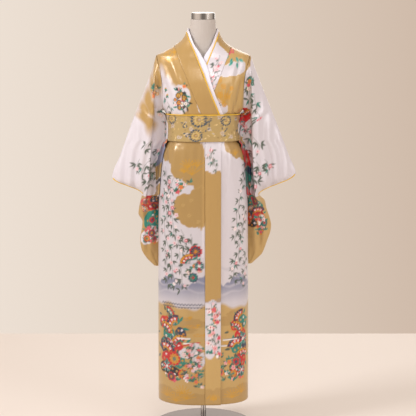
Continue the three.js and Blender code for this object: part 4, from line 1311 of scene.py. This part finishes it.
class Looks:
    """The nodes of a material or of the room's light."""

    def __init__(self, owner):
        owner.use_nodes = True
        self.tree = owner.node_tree

    def add(self, kind, settings, sockets, output=0):
        """A node of a kind: its settings first, then the values or links of its sockets. Gives one output."""
        node = self.tree.nodes.new(f"ShaderNode{kind}")
        for key, value in settings.items():
            if key == "stops":
                self.set_stops(node.color_ramp, value)
            else:
                setattr(node, key, value)
        self.join(node, sockets)
        return Wire(self, node.outputs[output])

    def join(self, node, sockets):
        """Sets or links a node's sockets."""
        for key, value in sockets.items():
            if isinstance(value, Wire):
                self.tree.links.new(value.socket, node.inputs[key])
            else:
                node.inputs[key].default_value = value

    def set_stops(self, ramp, stops):
        """Gives a ramp its stops, from a table of places and colours."""
        ramp.elements.remove(ramp.elements[-1])
        for k, (place, colour) in enumerate(stops):
            stop = ramp.elements.new(place) if k else ramp.elements[0]
            stop.position = place
            stop.color = (*colour, 1)

    def shade(self, sockets):
        """Sets or links the sockets of the material's main shader."""
        self.join(self.tree.nodes["Principled BSDF"], sockets)

    def relief(self, layers):
        """Fine unevenness: one bump on another, from a table of strength, scale and squash."""
        where = self.add("TexCoord", {}, {}, "Object")
        bump = None
        for strength, scale, squash in layers:
            if not strength:
                continue
            turn = self.add("Mapping", {}, {"Vector": where, "Scale": (scale, scale * squash, scale * squash)})
            noise = self.add("TexNoise", {}, {"Vector": turn, "Scale": 1.0, "Detail": 2.0}, "Fac")
            sockets = {"Strength": strength, "Distance": 0.5 / scale, "Height": noise}
            if bump:
                sockets["Normal"] = bump
            bump = self.add("Bump", {}, sockets)
        self.shade({"Normal": bump})


def material(name, colour=(0.8, 0.8, 0.8), rough=0.5, metal=0.0, printed=False, sheen=0.0, coat=0.0, weave=0.0,
             scale=900.0, ripple=0.0):
    """A material of one colour, or of the colours painted on its piece; weave is fine relief and ripple is soft."""
    made = bpy.data.materials.new(name)
    looks = Looks(made)
    looks.shade({
        "Base Color": looks.add("Attribute", {"attribute_name": "print"}, {}, "Color") if printed else (*colour, 1),
        "Roughness": rough, "Metallic": metal, "Sheen Weight": sheen, "Coat Weight": coat, "Coat Roughness": 0.22,
    })
    if weave or ripple:
        looks.relief(((ripple, RIPPLE_SCALE, RIPPLE_SQUASH), (weave, scale, 1.0)))
    return made


def chrome(name, radius):
    """Polished metal round an upright axis, with dark and bright reflection bands painted into its colour."""
    made = material(name, rough=0.16, metal=1.0)
    looks = Looks(made)
    x = looks.add("SeparateXYZ", {}, {"Vector": looks.add("TexCoord", {}, {}, "Object")}, "X")
    # Painted reflections: the bands run across the piece in its base colour.
    stops = [(place, (grey, grey * 0.97, grey * 0.94)) for place, grey in CHROME_REFLECTION_BANDS] + [(1.0, CHROME_EDGE_REFLECTION)]
    looks.shade({"Base Color": looks.add("ValToRGB", {"stops": stops}, {"Fac": x * (0.5 / radius) + 0.5}, "Color")})
    return made


def satin():
    """The printed satin that the robe's panels, bands and sleeves share."""
    return bpy.data.materials.get("satin_print") or material(
        "satin_print", rough=0.34, metal=0.1, printed=True, sheen=0.1, coat=0.45, weave=0.06, ripple=0.2
    )


def piping():
    """The gold satin that the piping and the trims share."""
    return bpy.data.materials.get("piping_satin") or material(
        "piping_satin", tuple(bpy.context.scene.kimono.piping_colour), 0.42, sheen=0.1
    )


# ---- operators ----


class KimonoSizes(bpy.types.PropertyGroup):
    """Sizes and colours that a maker may want to change"""

    satin_thickness: FloatProperty(
        name="Satin", description="Drawn thickness of the satin", default=0.0012, unit="LENGTH"
    )
    band_thickness: FloatProperty(
        name="Bands", description="Drawn thickness of the folded neckband", default=0.0024, unit="LENGTH"
    )
    collar_thickness: FloatProperty(
        name="Collar", description="Drawn thickness of the inner collar", default=0.0015, unit="LENGTH"
    )
    sash_thickness: FloatProperty(
        name="Sash", description="Drawn thickness of the brocade sash", default=0.003, unit="LENGTH"
    )
    piping_colour: FloatVectorProperty(
        name="Piping", description="Colour of the neck, cuff and sash piping", subtype="COLOR",
        default=(0.76, 0.47, 0.03),
    )
    collar_colour: FloatVectorProperty(
        name="Inner collar", description="Colour of the white inner collar", subtype="COLOR",
        default=(0.78, 0.75, 0.84),
    )
    form_colour: FloatVectorProperty(
        name="Form", description="Colour of the dress form", subtype="COLOR", default=(0.50, 0.455, 0.42)
    )
    base_colour: FloatVectorProperty(
        name="Base", description="Colour of the stand's round base", subtype="COLOR", default=(0.20, 0.17, 0.155)
    )
    floor_colour: FloatVectorProperty(
        name="Floor", description="Colour of the floor", subtype="COLOR", default=(0.72, 0.655, 0.60)
    )


class MakePanels(bpy.types.Operator):
    """Cut and drape the two fronts and the two backs"""

    bl_idname = "kimono.make_panels"
    bl_label = "Fronts and backs"

    def execute(self, context):
        plan = (
            ("front_right", -1, False, 84, 3.6, (0.27, 1.46), 0.35),
            ("front_left", 1, False, 98, 3.6, (0.27, 1.46), 0.345),
            ("back_right", -1, True, 64, 4.8, (0.26, 1.46), 0.35),
            ("back_left", 1, True, 64, 4.8, (0.26, 1.46), 0.35),
        )
        for node, side, back, columns, fine, flat, area in plan:
            points, a, z = panel(side, back, columns, fine)
            rgb = paint_back(a, z) if back else paint_front(a, z)
            obj = write_mesh(f"{node}_satin", points, np.stack([a, z], -1), rgb)
            thicken(obj, context.scene.kimono.satin_thickness)
            finish_piece(obj, node, satin())
        return {"FINISHED"}


class MakeBands(bpy.types.Operator):
    """Sew the long bands down the fronts and round the neck, the inner collar and the neck piping"""

    bl_idname = "kimono.make_bands"
    bl_label = "Bands, collar and piping"

    def execute(self, context):
        sizes = context.scene.kimono
        white = material("collar_satin", tuple(sizes.collar_colour), 0.5, sheen=0.2, weave=0.05)
        for name, side in (("right", -1), ("left", 1)):
            points, a, b = neck_strip(side, HEM_Z, (0.0, 0.997), 24, over=3, under=0.4)
            obj = write_mesh(f"front_band_{name}_satin", points, np.stack([a, b], -1), paint_band(a, b, name))
            thicken(obj, sizes.band_thickness)
            finish_piece(obj, f"front_band_{name}", satin())
            points, a, b = neck_strip(side, COLLAR_LOW_Z, (-0.32, 0.33), 14, over=-0.9, under=-2.9)
            obj = write_mesh(f"inner_collar_{name}_cloth", points, np.stack([a, b], -1), np.ones(points.shape))
            thicken(obj, sizes.collar_thickness)
            finish_piece(obj, f"inner_collar_{name}", white)
            points = neck_strip(side, PIPING_LOW_Z, (-0.026, -0.026), 1, over=1.9, under=-0.6)[0]
            sew_cord(f"neck_piping_{name}", "cord", points[:, 0], (2.8, 1.7))
        return {"FINISHED"}


class MakeSleeves(bpy.types.Operator):
    """Sew the two long sleeves with their wrist trim"""

    bl_idname = "kimono.make_sleeves"
    bl_label = "Sleeves"

    def execute(self, context):
        for name in ("right", "left"):
            obj, points, rows = build_sleeve(name, context.scene.kimono.satin_thickness)
            cuff_trim(name, points, rows)
        return {"FINISHED"}


def cuff_trim(name, points, rows):
    """A narrow gold binding along both edges of the slanted wrist."""
    side = SLEEVES[name]["side"]
    high, low = SLEEVES[name]["wrist"]
    lines = []
    for part in (slice(0, TIP + 1), slice(TIP, None)):
        line = []
        for row, z in zip(points, rows):
            if not low - 1 <= z <= high + 1:
                continue
            want = np.abs(row[:, 0]).max() - TRIM_INSET
            x = np.abs(row[part][:, 0])
            order = np.argsort(x)
            y, level = (float(np.interp(want, x[order], row[part][order, c])) for c in (1, 2))
            line.append([side * want, y, level])
        lines.append(np.array(line))
    sew_cord(f"cuff_trim_{name}", "cord", np.concatenate([lines[0], lines[1][::-1]]), (2.4, 2.4))


class MakeSash(bpy.types.Operator):
    """Wrap the brocade sash and its top cord"""

    bl_idname = "kimono.make_sash"
    bl_label = "Sash"

    def execute(self, context):
        around = np.linspace(0, math.tau, SASH["points"], endpoint=False)
        t, z = np.broadcast_arrays(around[None, :], np.linspace(SASH["low"], SASH["high"], SASH["rows"])[:, None])
        pucker = 0.5 * np.sin(t * 9 + 2 * np.sin(t * 3)) * np.sin((z - SASH["low"]) * 0.05)
        points = sash_points(t, z, SASH["out"] + pucker)
        a = signed_arc(t, z, math.pi / 2)
        brocade = material("brocade", rough=0.3, metal=0.45, printed=True, sheen=0.1, weave=0.3, scale=500,
                           ripple=0.3)
        obj = write_mesh("sash_brocade_band", points, np.stack([a, z], -1), paint_sash(a, z), close=True)
        thicken(obj, context.scene.kimono.sash_thickness)
        finish_piece(obj, "sash", brocade)
        line = sash_points(around, SASH["high"] + 2.4, SASH["out"] - 0.8)
        sew_cord("sash_top_cord", "round", np.concatenate([line, line[:1]]), (2.1, 2.2))
        return {"FINISHED"}


def sash_points(t, z, out):
    """Points round the waist at the sash's slant, which is higher in front than behind."""
    level = z - SASH["tilt"] * section(t, z)[1]
    points = body_point(t, level, out, pressed=1.0)
    points[..., 2] = level
    return points


class MakeStand(bpy.types.Operator):
    """Give the form, its neck cap, pole and base their finishes"""

    bl_idname = "kimono.make_stand"
    bl_label = "Form and stand"

    def execute(self, context):
        sizes = context.scene.kimono
        finishes = {
            "form_torso": material("form_skin", tuple(sizes.form_colour), 0.45),
            "neck_cap": chrome("chrome_cap", 0.048),
            "pole": chrome("chrome_pole", 0.0105),
            "base": material("base_polish", tuple(sizes.base_colour), 0.42, 0.6),
        }
        for node, finish in finishes.items():
            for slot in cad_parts[node].material_slots:
                slot.material = finish
        return {"FINISHED"}


class MakeStage(bpy.types.Operator):
    """Set the floor, the lights and the camera"""

    bl_idname = "kimono.make_stage"
    bl_label = "Stage"

    def execute(self, context):
        bpy.ops.object.select_all(action="DESELECT")
        bpy.ops.mesh.primitive_plane_add(size=FLOOR_SIZE, location=(0, WALL_Y - FLOOR_SIZE / 2, 0))
        floor = context.object
        floor.name = "floor"
        floor.data.materials.append(material("floor", tuple(context.scene.kimono.floor_colour), 0.6))
        for name, place, size, power, colour in LAMPS:
            data = bpy.data.lights.new(name, "AREA")
            data.size, data.energy, data.color = size, power, colour
            lamp = bpy.data.objects.new(name, data)
            lamp.location = place
            aim = np.array(LAMP_AIM) - np.array(place)
            lamp.rotation_euler = (math.atan2(math.hypot(aim[0], aim[1]), -aim[2]), 0, math.atan2(-aim[0], aim[1]))
            context.scene.collection.objects.link(lamp)
        context.scene.world = room()
        context.scene.view_settings.view_transform = "Standard"
        camera = bpy.data.cameras.new("camera")
        camera.lens, camera.sensor_width = EYE["lens"], EYE["film"]
        eye = bpy.data.objects.new("camera", camera)
        eye.location = EYE["place"]
        eye.rotation_euler = (math.radians(EYE["tilt"]), 0, 0)
        context.scene.collection.objects.link(eye)
        context.scene.camera = eye
        return {"FINISHED"}


def room():
    """Even light, and a wall that is bright on the left and shaded on the right, seen by the camera alone."""
    world = bpy.data.worlds.new("studio")
    looks = Looks(world)
    nodes = looks.tree.nodes
    looks.join(nodes["Background"], {"Color": (*ROOM_LIGHT, 1), "Strength": ROOM_STRENGTH})
    x = looks.add("SeparateXYZ", {}, {"Vector": looks.add("TexCoord", {}, {}, "Window")}, "X")
    stops = list(zip((0, WALL_MIDDLE, 1), WALL))
    tones = looks.add("ValToRGB", {"stops": stops}, {"Fac": x}, "Color")
    seen = looks.add("LightPath", {}, {}, "Is Camera Ray")
    light = Wire(looks, nodes["Background"].outputs["Background"])
    wall = looks.add("Background", {}, {"Color": tones}, "Background")
    looks.join(nodes["World Output"], {"Surface": looks.add("MixShader", {}, {"Fac": seen, 1: light, 2: wall})})
    return world


MAKERS = (MakePanels, MakeBands, MakeSleeves, MakeSash, MakeStand, MakeStage)


class KimonoPanel(bpy.types.Panel):
    """The makers and their sizes, in the sidebar"""

    bl_idname = "VIEW3D_PT_kimono"
    bl_label = "Kimono"
    bl_space_type = "VIEW_3D"
    bl_region_type = "UI"
    bl_category = "Kimono"

    def draw(self, context):
        for maker in MAKERS:
            self.layout.operator(maker.bl_idname)
        for name in KimonoSizes.__annotations__:
            self.layout.prop(context.scene.kimono, name)


CLASSES = (KimonoSizes, *MAKERS, KimonoPanel)


def register():
    """Makes the panel, the operators and their sizes known."""
    for cls in CLASSES:
        bpy.utils.register_class(cls)
    bpy.types.Scene.kimono = PointerProperty(type=KimonoSizes)


def unregister():
    """Takes them away again."""
    del bpy.types.Scene.kimono
    for cls in reversed(CLASSES):
        bpy.utils.unregister_class(cls)


def main():
    """Builds the whole scene."""
    register()
    bpy.ops.kimono.make_stage()
    bpy.ops.kimono.make_panels()
    bpy.ops.kimono.make_bands()
    bpy.ops.kimono.make_sleeves()
    bpy.ops.kimono.make_sash()
    bpy.ops.kimono.make_stand()


if __name__ == "__main__":
    main()
